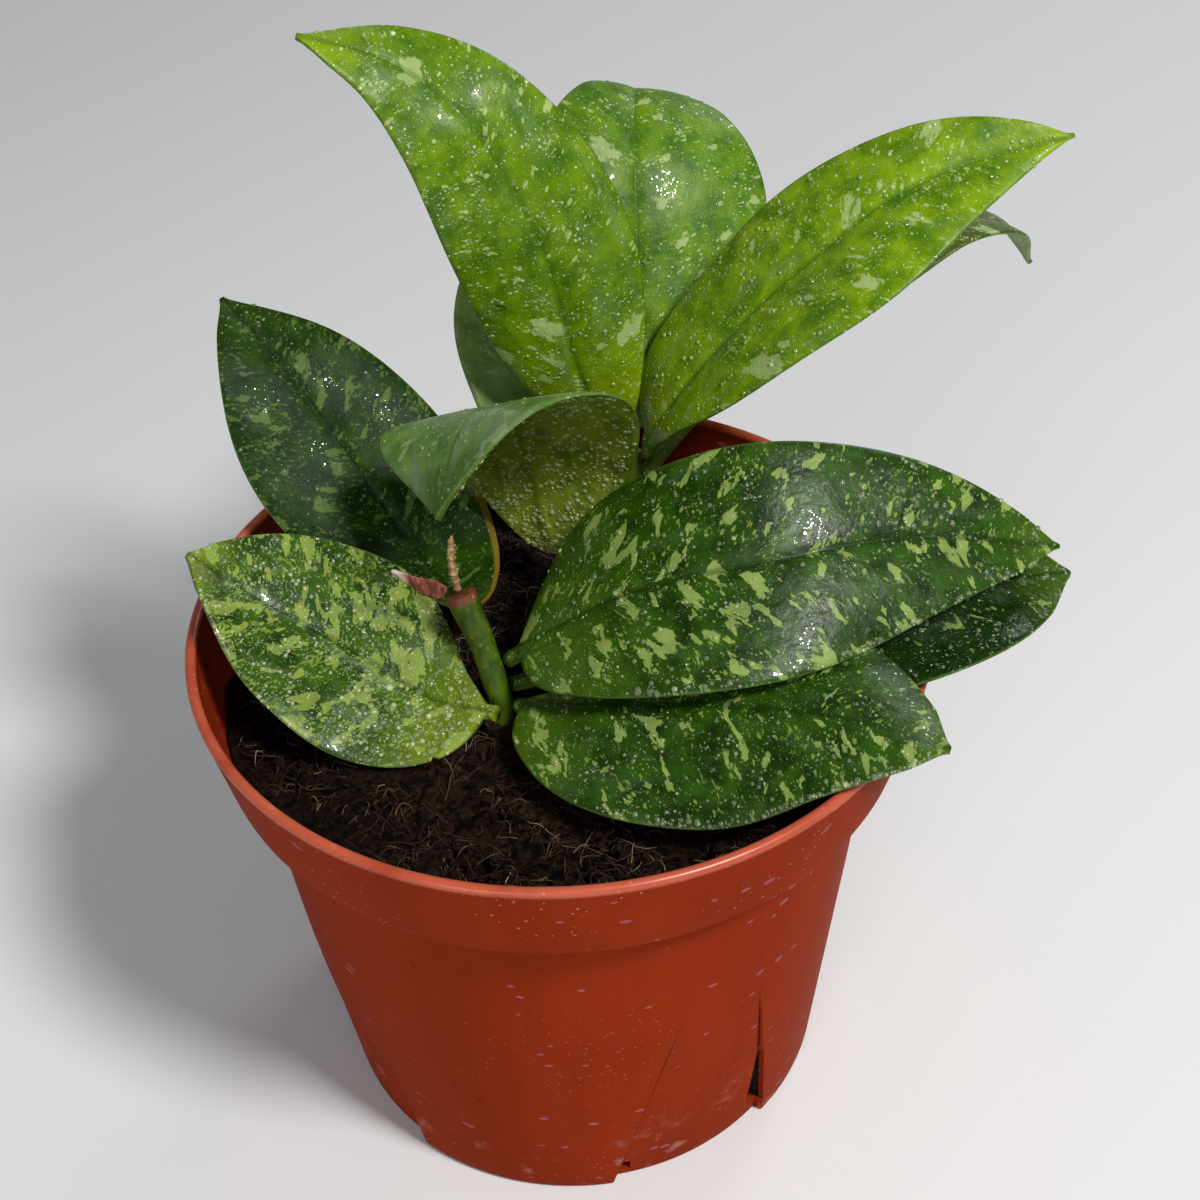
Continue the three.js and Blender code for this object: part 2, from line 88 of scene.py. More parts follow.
# %% [markdown]
# A plain pale floor and soft light show the plant on its own. The floor could be a flat plane,
# but a plane that curves up behind has no horizon line, so it is a grid whose far rows are
# lifted. Large area lights give the broad soft highlights of wet leaves. The key light hangs
# above on the right, so that the collar throws a shadow on the wall and leaves shade each other.

# %% Floor and lights
FLOOR_SIZE, CURVE_START, CURVE_STEEPNESS = 4.0, 0.5, 0.55
FLOOR_COLOUR, FLOOR_ROUGHNESS = (0.77, 0.78, 0.79, 1), 0.8
ROOM_COLOUR, ROOM_STRENGTH = (0.86, 0.89, 0.93, 1), 0.2
LIGHTS = {
    "key": dict(place=(0.42, -0.42, 0.9), target=(0, 0, 0.1), size=0.2, power=9, colour=(1, 0.98, 0.95)),
    "front": dict(place=(-0.35, -0.9, 0.55), target=(0, 0, 0.08), size=0.5, power=2.6, colour=(1, 1, 1)),
    "back": dict(place=(0.5, 0.7, 0.6), target=(0, 0, 0.12), size=0.3, power=1.4, colour=(0.97, 0.99, 1)),
}


def make_floor():
    bm = bmesh.new()
    bmesh.ops.create_grid(bm, x_segments=4, y_segments=60, size=FLOOR_SIZE / 2,
                          matrix=Matrix.Identity(4), calc_uvs=False)
    for vertex in bm.verts:
        vertex.co.z = CURVE_STEEPNESS * max(vertex.co.y - CURVE_START, 0) ** 2
    mesh = bpy.data.meshes.new("floor")
    bm.to_mesh(mesh)
    bm.free()
    mesh.shade_smooth()
    pale = bpy.data.materials.new("pale_floor")
    pale.use_nodes = True
    inputs = pale.node_tree.nodes["Principled BSDF"].inputs
    inputs["Base Color"].default_value = FLOOR_COLOUR
    inputs["Roughness"].default_value = FLOOR_ROUGHNESS
    mesh.materials.append(pale)
    floor = bpy.data.objects.new("floor", mesh)
    scene.collection.objects.link(floor)


def make_light(name, place, target, size, power, colour):
    lamp = bpy.data.lights.new(name, "AREA")
    lamp.shape = "DISK"
    lamp.size = size
    lamp.energy = power
    lamp.color = colour
    light = bpy.data.objects.new(name, lamp)
    scene.collection.objects.link(light)
    light.location = place
    light.rotation_euler = (Vector(target) - Vector(place)).to_track_quat("-Z", "Y").to_euler()


make_floor()
for name, values in LIGHTS.items():
    make_light(name, **values)
scene.view_settings.view_transform = "Standard"
scene.world = bpy.data.worlds.new("pale room")
scene.world.use_nodes = True
room = scene.world.node_tree.nodes["Background"].inputs
room["Color"].default_value = ROOM_COLOUR
room["Strength"].default_value = ROOM_STRENGTH
print("floor and", len(LIGHTS), "lights")

# %% [markdown]
# Materials are trees of nodes. Writing them out node by node is long, so a small bench puts a
# node in a tree and wires its inputs in one call. An input may be a number, a colour or the
# output of another node.

# %% A bench for node trees
def srgb(red, green, blue):
    """Colour as read from a screen, 0 to 255, turned into the linear light that a shader needs"""
    def linear(c):
        c = c / 255
        return c / 12.92 if c <= 0.04045 else ((c + 0.055) / 1.055) ** 2.4
    return (linear(red), linear(green), linear(blue), 1)


class Bench:
    """Puts nodes in a tree and wires them"""

    def __init__(self, tree):
        self.tree = tree

    def feed(self, socket, value):
        if isinstance(value, bpy.types.NodeSocket):
            self.tree.links.new(value, socket)
        else:
            socket.default_value = value

    def node(self, kind, settings=None, **inputs):
        """New node. An input goes by its name, or by i and its number where names repeat"""
        node = self.tree.nodes.new(kind)
        for name, value in (settings or {}).items():
            setattr(node, name, value)
        for name, value in inputs.items():
            key = int(name[1:]) if name[0] == "i" and name[1:].isdigit() else name.replace("_", " ")
            self.feed(node.inputs[key], value)
        return node

    def put(self, kind, out=0, settings=None, **inputs):
        """New node, of which one output is given back"""
        return self.node(kind, settings, **inputs).outputs[out]

    def group(self, group, **inputs):
        return self.node("ShaderNodeGroup", {"node_tree": group}, **inputs).outputs

    def math(self, operation, a, b=0.0, clamp=False):
        settings = {"operation": operation, "use_clamp": clamp}
        return self.put("ShaderNodeMath", settings=settings, i0=a, i1=b)

    def plus(self, a, b, clamp=False):
        return self.math("ADD", a, b, clamp)

    def minus(self, a, b):
        return self.math("SUBTRACT", a, b)

    def times(self, a, b):
        return self.math("MULTIPLY", a, b)

    def larger(self, a, b):
        return self.math("MAXIMUM", a, b)

    def step(self, value, low, high):
        """0 below low, 1 above high, smooth between"""
        return self.put("ShaderNodeMapRange", settings={"interpolation_type": "SMOOTHSTEP"},
                        Value=value, From_Min=low, From_Max=high)

    def mix(self, share, a, b):
        return self.put("ShaderNodeMix", out=2, settings={"data_type": "RGBA"}, i0=share, i6=a, i7=b)

    def lay(self, colour, over, mask, share):
        """Lays a second colour over the first, as far as the mask and the share say"""
        return self.mix(self.times(mask, share), colour, over)

    def own_place(self):
        """The piece's own coordinates, in metres"""
        return self.put("ShaderNodeTexCoord", out=3)

    def measure(self, name):
        """A number that the mesh holds at every vertex"""
        return self.put("ShaderNodeAttribute", out=2, settings={"attribute_name": name})

    def split(self, vector):
        return self.node("ShaderNodeSeparateXYZ", Vector=vector).outputs[:]

    def stretch(self, vector, scale, rotation=(0, 0, 0)):
        return self.put("ShaderNodeMapping", Vector=vector, Scale=scale, Rotation=rotation)

    def noise(self, vector, scale, detail=3.0, roughness=0.5, distortion=0.0):
        return self.put("ShaderNodeTexNoise", Vector=vector, Scale=scale, Detail=detail,
                        Roughness=roughness, Distortion=distortion)

    def wander(self, vector, scale, detail):
        """Noise with three parts, to lead another pattern astray"""
        return self.put("ShaderNodeTexNoise", out=1, Vector=vector, Scale=scale, Detail=detail)

    def cells(self, vector, scale, randomness=1.0):
        """Distance to the nearest cell's middle, and a number from 0 to 1 that each cell draws"""
        made = self.node("ShaderNodeTexVoronoi", Vector=vector, Scale=scale, Randomness=randomness)
        return made.outputs["Distance"], self.put("ShaderNodeSeparateColor", Color=made.outputs["Color"])

    def bump(self, height, strength, distance):
        return self.put("ShaderNodeBump", Height=height, Strength=strength, Distance=distance)


def new_material(name):
    """Empty material with its bench and its shader"""
    material = bpy.data.materials.new(name)
    material.use_nodes = True
    material.node_tree.nodes.clear()
    bench = Bench(material.node_tree)
    shader = material.node_tree.nodes.new("ShaderNodeBsdfPrincipled")
    output = material.node_tree.nodes.new("ShaderNodeOutputMaterial")
    material.node_tree.links.new(shader.outputs[0], output.inputs["Surface"])
    return material, bench, shader


def dress(bench, shader, **inputs):
    for name, value in inputs.items():
        bench.feed(shader.inputs[name.replace("_", " ")], value)


def new_group(name, inputs, outputs):
    """Node group with named inputs, its bench, its input sockets and its output node"""
    group = bpy.data.node_groups.new(name, "ShaderNodeTree")
    for label, kind, value in inputs:
        socket = group.interface.new_socket(name=label, in_out="INPUT", socket_type=kind)
        if value is not None:
            socket.default_value = value
    for label, kind in outputs:
        group.interface.new_socket(name=label, in_out="OUTPUT", socket_type=kind)
    entry = group.nodes.new("NodeGroupInput")
    exit_node = group.nodes.new("NodeGroupOutput")
    return group, Bench(group), entry.outputs, exit_node.inputs


print("bench ready")

# %% [markdown]
# The pot is one thin moulded shell. Turning its half section round the axis gives the shell, its
# collar and its rounded lip in one go. Four tapering recesses are pressed into the lower wall,
# with slanted sides, so the columns of the turned shell are moved round until one of them follows
# each side. That keeps every side crisp, where a pressed dent over an even grid would be jagged.
# The pot isn't quite regular: the recess on its left reaches a few degrees further round.

# %% Sizes of the pot
POT_HEIGHT, RIM_RADIUS, FOOT_RADIUS = 96, 60, 45
COLLAR_HEIGHT, COLLAR_FOOT_RADIUS, NECK_RADIUS = 17, 56.7, 52.3
POT_WALL, LIP_WIDTH, LIP_INSET, FLOOR_THICKNESS = 1.2, 1.8, 0.12, 1.6
NECK = POT_HEIGHT - COLLAR_HEIGHT
SECTORS = 4
SECTOR_ANGLE = 360 / SECTORS
RECESS_TOP, RECESS_DEPTH = 49, 1.6
RECESS_LEFT, RECESS_RIGHT = (5, 19), (45.5, 36.5)
RIGHT_SHIFTS = (0, 0, 0, 4.5)
INSIDE_STEPS, OUTSIDE_STEPS = 22, 26
SECTOR_STEPS = INSIDE_STEPS + OUTSIDE_STEPS
COLUMNS = SECTORS * SECTOR_STEPS
EDGE_SHARE = 0.014


def clamp(x, low=0.0, high=1.0):
    return min(max(x, low), high)


def smooth(x, start, end):
    t = clamp((x - start) / (end - start))
    return t * t * (3 - 2 * t)


def blend(a, b, share):
    return a + (b - a) * share


def wall_radius(z):
    if z <= NECK:
        return blend(FOOT_RADIUS, NECK_RADIUS, z / NECK)
    return blend(COLLAR_FOOT_RADIUS, RIM_RADIUS, (z - NECK) / COLLAR_HEIGHT)


def inside_share(step):
    """Place across a recess, 0 at its left side and 1 at its right, with a narrow step at each"""
    if step in (0, INSIDE_STEPS - 1):
        return step / (INSIDE_STEPS - 1)
    return blend(EDGE_SHARE, 1 - EDGE_SHARE, (step - 1) / (INSIDE_STEPS - 3))


def column_place(number, z):
    """Angle in degrees of a column at a height, and how deep the recess is there"""
    number %= COLUMNS
    sector, step = divmod(number, SECTOR_STEPS)
    t = clamp(z / RECESS_TOP)
    left, right = blend(*RECESS_LEFT, t), blend(*RECESS_RIGHT, t) + RIGHT_SHIFTS[sector]
    depth = 0
    if step < INSIDE_STEPS:
        angle = blend(left, right, inside_share(step))
        if 0 < step < INSIDE_STEPS - 1:
            depth = RECESS_DEPTH * (1 - t)
    else:
        angle = blend(right, left + SECTOR_ANGLE, (step - INSIDE_STEPS + 1) / (OUTSIDE_STEPS + 1))
    even = smooth(z, RECESS_TOP, NECK - 1)
    spread = 360 * number / COLUMNS + RECESS_LEFT[1]
    return blend(angle + sector * SECTOR_ANGLE, spread, even), depth


print("pot columns:", COLUMNS)

# %% A shell turned from its half section
PRESSED_FROM = 0.8 * FOOT_RADIUS
CORNER_COLUMNS = (1, INSIDE_STEPS - 2)
ON_AXIS, MERGE_DISTANCE = 0.01, 0.0005


def turned(section):
    """Spins a half section, a list of (radius, height), then moves its columns to their places and
    marks those in the corners of the recesses"""
    bm = bmesh.new()
    corners = [bm.verts.new((r, 0, z)) for r, z in section]
    edges = [bm.edges.new(pair) for pair in zip(corners, corners[1:])]
    bmesh.ops.spin(bm, geom=corners + edges, cent=(0, 0, 0), axis=(0, 0, 1),
                   angle=2 * math.pi, steps=COLUMNS, use_merge=True)
    bmesh.ops.remove_doubles(bm, verts=bm.verts[:], dist=MERGE_DISTANCE)
    crease = bm.verts.layers.float.new("crease")
    for vertex in bm.verts:
        radius = math.hypot(vertex.co.x, vertex.co.y)
        if radius < ON_AXIS:
            continue
        number = round(math.atan2(vertex.co.y, vertex.co.x) / (2 * math.pi) * COLUMNS)
        degrees, depth = column_place(number, vertex.co.z)
        if radius > PRESSED_FROM:
            radius -= depth
            vertex[crease] = number % SECTOR_STEPS in CORNER_COLUMNS
        vertex.co.x = radius * math.sin(math.radians(degrees))
        vertex.co.y = -radius * math.cos(math.radians(degrees))
    bmesh.ops.recalc_face_normals(bm, faces=bm.faces[:])
    return bm


def finish_piece(name, bm, materials, nodes=(), sharp=None):
    """Turns a bmesh in millimetres into an object in metres that rides on the pot"""
    bmesh.ops.scale(bm, vec=(MM, MM, MM), verts=bm.verts[:])
    mesh = bpy.data.meshes.new(name)
    bm.to_mesh(mesh)
    bm.free()
    mesh.shade_smooth()
    if sharp is not None:
        mesh.set_sharp_from_angle(angle=math.radians(sharp))
    for material in materials:
        mesh.materials.append(material)
    piece = bpy.data.objects.new(name, mesh)
    scene.collection.objects.link(piece)
    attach(piece, "root")
    if nodes:
        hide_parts(*nodes)
    mesh.calc_loop_triangles()
    print(name, len(mesh.loop_triangles), "triangles")


def levels(low, high, step):
    """Evenly spaced values from low to high, about a step apart"""
    count = max(round((high - low) / step), 1)
    return [blend(low, high, k / count) for k in range(count + 1)]


def arc(centre, radius, start, end, steps):
    """Points of a rounded corner in the half section, angles in degrees from outwards"""
    points = []
    for k in range(steps + 1):
        angle = math.radians(blend(start, end, k / steps))
        points.append((centre[0] + radius * math.cos(angle), centre[1] + radius * math.sin(angle)))
    return points


print("turning helpers ready")

# %% The pot's half section
UNDERSIDE_HEIGHT = 0.6
FOOT_CORNERS = ((-6, UNDERSIDE_HEIGHT), (-4, 0), (-0.9, 0), (-0.25, 0.3))
NECK_CORNERS = ((0.05, -0.3), (0.4, 0))
WALL_START, WALL_STEP, COLLAR_STEP = 1.2, 4, 3
COLLAR_CORNER, INNER_CORNER, SHARP = 0.5, 0.4, 38


def pot_section():
    """Corners from the middle of the underside, up the outside, over the lip and down to the floor"""
    outer = [(wall_radius(z), z) for z in levels(WALL_START, NECK - 1, WALL_STEP)]
    collar = [(wall_radius(z), z) for z in levels(NECK + 2, POT_HEIGHT - 2.4, COLLAR_STEP)]
    inner = [(wall_radius(z) - POT_WALL, z)
             for z in levels(FLOOR_THICKNESS + INNER_CORNER, NECK - 1, WALL_STEP)]
    lip = (RIM_RADIUS - LIP_INSET - LIP_WIDTH / 2, POT_HEIGHT - LIP_WIDTH / 2)
    inside, shelf = COLLAR_FOOT_RADIUS - POT_WALL, NECK + POT_WALL
    return [(0, UNDERSIDE_HEIGHT), *[(FOOT_RADIUS + out, z) for out, z in FOOT_CORNERS], *outer,
            *[(NECK_RADIUS + out, NECK + z) for out, z in NECK_CORNERS],
            *arc((COLLAR_FOOT_RADIUS - COLLAR_CORNER, NECK + COLLAR_CORNER), COLLAR_CORNER, -90, -10, 4),
            *collar, *arc(lip, LIP_WIDTH / 2, -20, 200, 12),
            (RIM_RADIUS - LIP_WIDTH - 0.3, POT_HEIGHT - 4),
            (inside, shelf + INNER_CORNER), (inside - COLLAR_CORNER, shelf),
            (NECK_RADIUS - POT_WALL + 0.2, shelf), *inner[::-1],
            (wall_radius(FLOOR_THICKNESS) - POT_WALL - 0.6, FLOOR_THICKNESS), (0, FLOOR_THICKNESS)]


pot_shell = turned(pot_section())
print("turned shell:", len(pot_shell.faces), "faces")

# %% [markdown]
# Each recess ends in a tapering upright slot at the foot of its right side and a small notch by
# its left side, and the floor has four round drain holes. Cutting them with one set of blocks
# and a Boolean modifier is quicker than building the shell round them, and leaves clean edges.

# %% Slots, notches and drain holes
SLOT_WIDTHS, SLOT_FROM_EDGE, SLOT_SPAN = (3.4, 0.6), 4.9, (4.5, 24)
NOTCH_WIDTHS, NOTCH_FROM_EDGE, NOTCH_SPAN = (2.2, 2.2), 1.6, (2.2, 5)
CUT_DEPTH = 12
HOLE_RADIUS, HOLE_CIRCLE, HOLE_SIDES, HOLE_DEPTH = 4, 28, 32, 10


def turn_about_axis(degrees):
    return Matrix.Rotation(math.radians(degrees), 4, "Z")


def add_wedge(bm, degrees, widths, span):
    """Upright block through the wall, as wide below and above as the two widths say"""
    block = bmesh.ops.create_cube(bm, size=1)["verts"]
    for vertex in block:
        top = int(vertex.co.z > 0)
        across, deep = (vertex.co.x + 0.5) * widths[top], vertex.co.y * CUT_DEPTH
        vertex.co = (across, deep - FOOT_RADIUS, span[top])
    bmesh.ops.transform(bm, matrix=turn_about_axis(degrees), verts=block)


def pot_cutters():
    bm = bmesh.new()
    for sector in range(SECTORS):
        about = sector * SECTOR_ANGLE
        slot = RECESS_RIGHT[0] + RIGHT_SHIFTS[sector] - SLOT_FROM_EDGE
        add_wedge(bm, slot + about, SLOT_WIDTHS, SLOT_SPAN)
        add_wedge(bm, RECESS_LEFT[0] + NOTCH_FROM_EDGE + about, NOTCH_WIDTHS, NOTCH_SPAN)
        hole = turn_about_axis(about) @ Matrix.Translation((0, -HOLE_CIRCLE, 0))
        bmesh.ops.create_cone(bm, cap_ends=True, segments=HOLE_SIDES, radius1=HOLE_RADIUS,
                              radius2=HOLE_RADIUS, depth=HOLE_DEPTH, matrix=hole)
    return bm


def cut_away(bm, cutter_bm):
    """Boolean difference of two bmeshes"""
    pair = []
    for name, source in (("whole", bm), ("cutters", cutter_bm)):
        mesh = bpy.data.meshes.new(name)
        source.to_mesh(mesh)
        source.free()
        pair.append(bpy.data.objects.new(name, mesh))
        scene.collection.objects.link(pair[-1])
    whole, cutters = pair
    modifier = whole.modifiers.new("cut", "BOOLEAN")
    modifier.object = cutters
    modifier.operation = "DIFFERENCE"
    modifier.solver = "EXACT"
    evaluated = whole.evaluated_get(bpy.context.evaluated_depsgraph_get())
    result = bmesh.new()
    result.from_mesh(evaluated.to_mesh())
    evaluated.to_mesh_clear()
    for thing in pair:
        mesh = thing.data
        bpy.data.objects.remove(thing)
        bpy.data.meshes.remove(mesh)
    return result


pot_shell = cut_away(pot_shell, pot_cutters())
print("pot with slots:", len(pot_shell.faces), "faces")

# %% [markdown]
# The pot's plastic is a satin terracotta colour. It isn't one even colour: the moulding left
# faint flow marks, handling left pale scuffs, and splashed water dried to whitish specks, thickest
# near the foot and round the slots. Painted shade darkens the lower corners of the recesses, and
# a painted highlight lightens the top of the lip, which has a glossy coat as well. Most
# of it is pattern on the object's own coordinates, so no unwrapping is needed. The specks are a
# shared effect, because the stems have them too.

# %% A shared effect: dried specks
def specks_group():
    """Small pale spots with ragged edges, gathered in patches"""
    group, bench, given, result = new_group(
        "dried_specks",
        [("Vector", "NodeSocketVector", None), ("Scale", "NodeSocketFloat", 400.0),
         ("Amount", "NodeSocketFloat", 0.3)],
        [("Mask", "NodeSocketFloat")])
    patches = bench.noise(given["Vector"], 35.0, 2.0)
    wobble = bench.wander(given["Vector"], 900.0, 2.0)
    moved = bench.put("ShaderNodeMix", out=1, settings={"data_type": "VECTOR"},
                      i0=0.0006, i4=given["Vector"], i5=wobble)
    size = bench.times(bench.step(patches, 0.25, 0.7), given["Amount"])
    away = bench.put("ShaderNodeTexVoronoi", Vector=moved, Scale=given["Scale"])
    bench.feed(result["Mask"], bench.math("LESS_THAN", away, size))
    return group


SPECKS = specks_group()
print("group", SPECKS.name)

# %% The pot's plastic
# Two of these colours are painted light: the pale lip colour is a painted highlight, and the near-black
# colour for the recess corners is painted shade
PLASTIC = dict(deep=srgb(133, 43, 16), light=srgb(145, 49, 20), scuff=srgb(176, 108, 104),
               speck=srgb(190, 116, 96), smear=srgb(176, 112, 128), worn=srgb(216, 104, 74),
               residue=srgb(206, 170, 156), crease_shade=srgb(52, 12, 4))
COLLAR_SPAN, LIP_SPAN = (NECK - 5, NECK + 3), (POT_HEIGHT - 1.5, POT_HEIGHT - 0.5)
RESIDUE_SPAN, CREASE_SHADE_SPAN = (24, 2), (RECESS_TOP + 1, RECESS_TOP - 13)


def pot_material():
    material, bench, shader = new_material("pot_plastic")
    place = bench.own_place()
    height = bench.split(place)[2]

    def over(span):
        """Mask that comes in over a span of heights in millimetres"""
        return bench.step(height, span[0] * MM, span[1] * MM)

    flow = bench.noise(bench.stretch(place, (1, 1, 0.35)), 45.0, 4.0, 0.6)
    colour = bench.mix(bench.step(flow, 0.3, 0.7), PLASTIC["deep"], PLASTIC["light"])
    scuffs = bench.noise(bench.stretch(place, (1, 1, 2.5), (0, 0.3, 0)), 210.0, 5.0, 0.6)
    scuffs = bench.times(bench.step(scuffs, 0.66, 0.78), 0.35)
    colour = bench.mix(scuffs, colour, PLASTIC["scuff"])
    specks = bench.group(SPECKS, Vector=place, Scale=620.0, Amount=0.17)["Mask"]
    on_collar = bench.plus(bench.times(over(COLLAR_SPAN), 0.7), 0.3)
    colour = bench.lay(colour, PLASTIC["speck"], specks, on_collar)
    dashed = bench.stretch(place, (1, 1, 2.2))
    smears = bench.group(SPECKS, Vector=dashed, Scale=150.0, Amount=0.17)["Mask"]
    colour = bench.lay(colour, PLASTIC["smear"], smears, 0.5)
    # Painted highlight: the top of the lip is lightened towards a pale colour, and the same mask gives it a
    # glossy coat
    worn = bench.times(over(LIP_SPAN), bench.step(flow, 0.2, 0.6))
    colour = bench.lay(colour, PLASTIC["worn"], worn, 0.6)
    stains = bench.step(bench.noise(place, 120.0, 5.0, 0.65), 0.55, 0.75)
    colour = bench.lay(colour, PLASTIC["residue"], bench.times(over(RESIDUE_SPAN), stains), 0.5)
    # Painted shade: the corners of the recesses are darkened in their lower part, where the step would cast
    # shade
    crease_shade = bench.times(bench.step(bench.measure("crease"), 0.45, 1.0), over(CREASE_SHADE_SPAN))
    colour = bench.lay(colour, PLASTIC["crease_shade"], crease_shade, 0.9)
    rough = bench.plus(bench.plus(bench.times(flow, 0.15), bench.times(scuffs, 0.4)), 0.33)
    grain = bench.noise(place, 900.0, 3.0)
    normal = bench.bump(bench.plus(bench.times(grain, 0.3), flow), 0.2, 0.0003)
    dress(bench, shader, Base_Color=colour, Roughness=rough, Normal=normal, Coat_Weight=worn,
          Coat_Roughness=0.3, Specular_IOR_Level=0.004)
    return material


finish_piece("nursery_pot", pot_shell, [pot_material()], ["pot"], sharp=SHARP)

# %% [markdown]
# The soil is peat with coir. One turned body fills the pot, so that the slots show soil behind
# them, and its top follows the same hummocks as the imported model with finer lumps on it. Loose
# crumbs and fibres lie on top as small pieces of their own. Displacement alone would look like
# dough, because real peat has undercut lumps and hairs.

# %% Soil body
SOIL_LEVEL, SOIL_GAP, SOIL_EDGE_GAP = 82, 0.45, 0.4
SOIL_EDGE = wall_radius(SOIL_LEVEL) - POT_WALL - SOIL_GAP - SOIL_EDGE_GAP
SOIL_FOOT, SOIL_SIDE_STEP, SOIL_RING_STEP = 4, 5, 0.9
HUMMOCK_LENGTH, HUMMOCK_HEIGHT = 21, 0.7
RIPPLE_LENGTH, RIPPLE_HEIGHT = 8, 0.5
HEAP_PLACE, HEAP_HEIGHT, HEAP_WIDTH = (6, 8), 1.5, 16
COARSE_LUMPS, FINE_LUMPS = 0.9, 0.75


def soil_height(x, y):
    """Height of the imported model's soil"""
    turn = 2 * math.pi
    hummocks = math.sin(turn * x / HUMMOCK_LENGTH) * math.cos(turn * y / HUMMOCK_LENGTH)
    ripples = math.sin(turn * (x + y) / (RIPPLE_LENGTH * math.sqrt(2)))
    away = ((x - HEAP_PLACE[0]) ** 2 + (y - HEAP_PLACE[1]) ** 2) / (2 * HEAP_WIDTH ** 2)
    heap = HEAP_HEIGHT * math.exp(-away)
    return SOIL_LEVEL + HUMMOCK_HEIGHT * hummocks + RIPPLE_HEIGHT * ripples + heap


def lumpy_height(x, y):
    """The same with the finer lumps of the peat"""
    coarse = noise.fractal(Vector((x, y, 0)) * 0.16, 1.0, 2.0, 3)
    fine = noise.fractal(Vector((x, y, 7)) * 0.6, 0.5, 2.1, 4)
    return soil_height(x, y) + (COARSE_LUMPS * coarse + FINE_LUMPS * fine)


def soil_section():
    gap = SOIL_GAP + POT_WALL
    side = [(wall_radius(z) - gap, z) for z in levels(SOIL_FOOT, NECK - 1, SOIL_SIDE_STEP)]
    shelf = NECK + POT_WALL + SOIL_GAP
    floor = FLOOR_THICKNESS + SOIL_GAP
    rings = levels(SOIL_EDGE, 0, SOIL_RING_STEP)
    return [(0, floor), (wall_radius(SOIL_FOOT) - gap - 0.6, floor), *side,
            (NECK_RADIUS - gap, shelf), (SOIL_EDGE, shelf), *[(r, SOIL_LEVEL) for r in rings]]


soil_body = turned(soil_section())
for vertex in soil_body.verts:
    if vertex.co.z > SOIL_LEVEL - 0.01:
        vertex.co.z = lumpy_height(vertex.co.x, vertex.co.y)
print("soil faces:", len(soil_body.faces))

# %% Soil material
def soil_material(name, dark, light, fleck):
    material, bench, shader = new_material(name)
    place = bench.own_place()
    grain = bench.noise(place, 520.0, 8.0, 0.7)
    luck = bench.cells(bench.wander(place, 30.0, 4.0), 60.0)[1]
    paler = bench.larger(bench.measure("tone"), bench.math("POWER", luck, 2.0))
    colour = bench.mix(paler, dark, light)
    colour = bench.mix(bench.step(grain, 0.5, 0.72), colour, fleck)
    wet = bench.step(bench.noise(place, 90.0, 3.0), 0.35, 0.65)
    rough = bench.plus(bench.times(wet, 0.35), 0.5)
    normal = bench.bump(grain, 1.0, 0.003)
    dress(bench, shader, Base_Color=colour, Roughness=rough, Normal=normal, Specular_IOR_Level=0.1)
    return material


PEAT = soil_material("damp_peat", srgb(7, 4, 2), srgb(58, 38, 28), srgb(72, 54, 42))
finish_piece("soil_bed", soil_body, [PEAT], ["soil"])

# %% Crumbs
RANDOM_SEED, EDGE_KEPT_FREE = 11, 1.5
CRUMB_LIFT, CRUMB_DENTS, CRUMB_RAGGEDNESS = 0.35, 1.3, 0.55
CRUMB_THINNING = 1
# Number of crumbs, least and largest size, fineness, and 0 for peat or 1 for bark
CRUMBS = ((200, 1.0, 1.9, 2, 0), (2400, 0.5, 1.0, 1, 0), (4600, 0.25, 0.6, 1, 0), (420, 0.3, 0.9, 1, 1))
SCRATCH = bpy.data.meshes.new("scratch")
draw = random.Random(RANDOM_SEED)


def new_heap():
    """Empty bmesh for many small shapes, each with a tone of its own"""
    bm = bmesh.new()
    bm.verts.layers.float.new("tone")
    return bm


def gather(whole, part, tone=None):
    """Adds a small finished bmesh to a large one. Every operator goes through the whole bmesh that
    it works in, so thousands of small shapes are quick only when each is made on its own"""
    if tone is not None:
        layer = part.verts.layers.float.new("tone")
        for vertex in part.verts:
            vertex[layer] = tone
    part.to_mesh(SCRATCH)
    part.free()
    whole.from_mesh(SCRATCH)


def random_turn():
    """A turn about a random axis"""
    axis = Vector((draw.gauss(0, 1), draw.gauss(0, 1), draw.gauss(0, 1))).normalized()
    return Matrix.Rotation(draw.uniform(0, 2 * math.pi), 4, axis)


def spot_on_soil():
    radius = (SOIL_EDGE - EDGE_KEPT_FREE) * math.sqrt(draw.random())
    angle = draw.uniform(0, 2 * math.pi)
    return radius * math.cos(angle), radius * math.sin(angle)


def add_crumb(whole, size, subdivisions, material):
    bm = bmesh.new()
    x, y = spot_on_soil()
    stretch = Matrix.Diagonal((size * draw.uniform(0.7, 1.6), size * draw.uniform(0.6, 1.1),
                               size * draw.uniform(0.35, 0.8), 1))
    lift = lumpy_height(x, y) + size * CRUMB_LIFT
    place = Matrix.Translation((x, y, lift)) @ random_turn() @ stretch
    bmesh.ops.create_icosphere(bm, subdivisions=subdivisions, radius=1, matrix=place)
    for vertex in bm.verts:
        bump = noise.noise(vertex.co * (CRUMB_DENTS / size) + Vector((0, 0, size)))
        vertex.co += (vertex.co - place.translation) * CRUMB_RAGGEDNESS * bump
    for face in bm.faces:
        face.material_index = material
    gather(whole, bm, draw.random() ** 3)


crumbs = new_heap()
for count, low, high, subdivisions, material in CRUMBS:
    for k in range(count // CRUMB_THINNING):
        add_crumb(crumbs, draw.uniform(low, high), subdivisions, material)
BARK = soil_material("bark_bits", srgb(44, 26, 16), srgb(76, 50, 34), srgb(120, 92, 64))
finish_piece("peat_crumbs", crumbs, [PEAT, BARK], (), sharp=50)

# %% [markdown]
# Stems, stalks and fibres are all tubes. One ring is extruded step by step along a path, and
# each new ring is moved to its place by a matrix, so the radius may change at every step. Curve
# objects with a bevel would do too, but a mesh can be given knobs and dents afterwards.

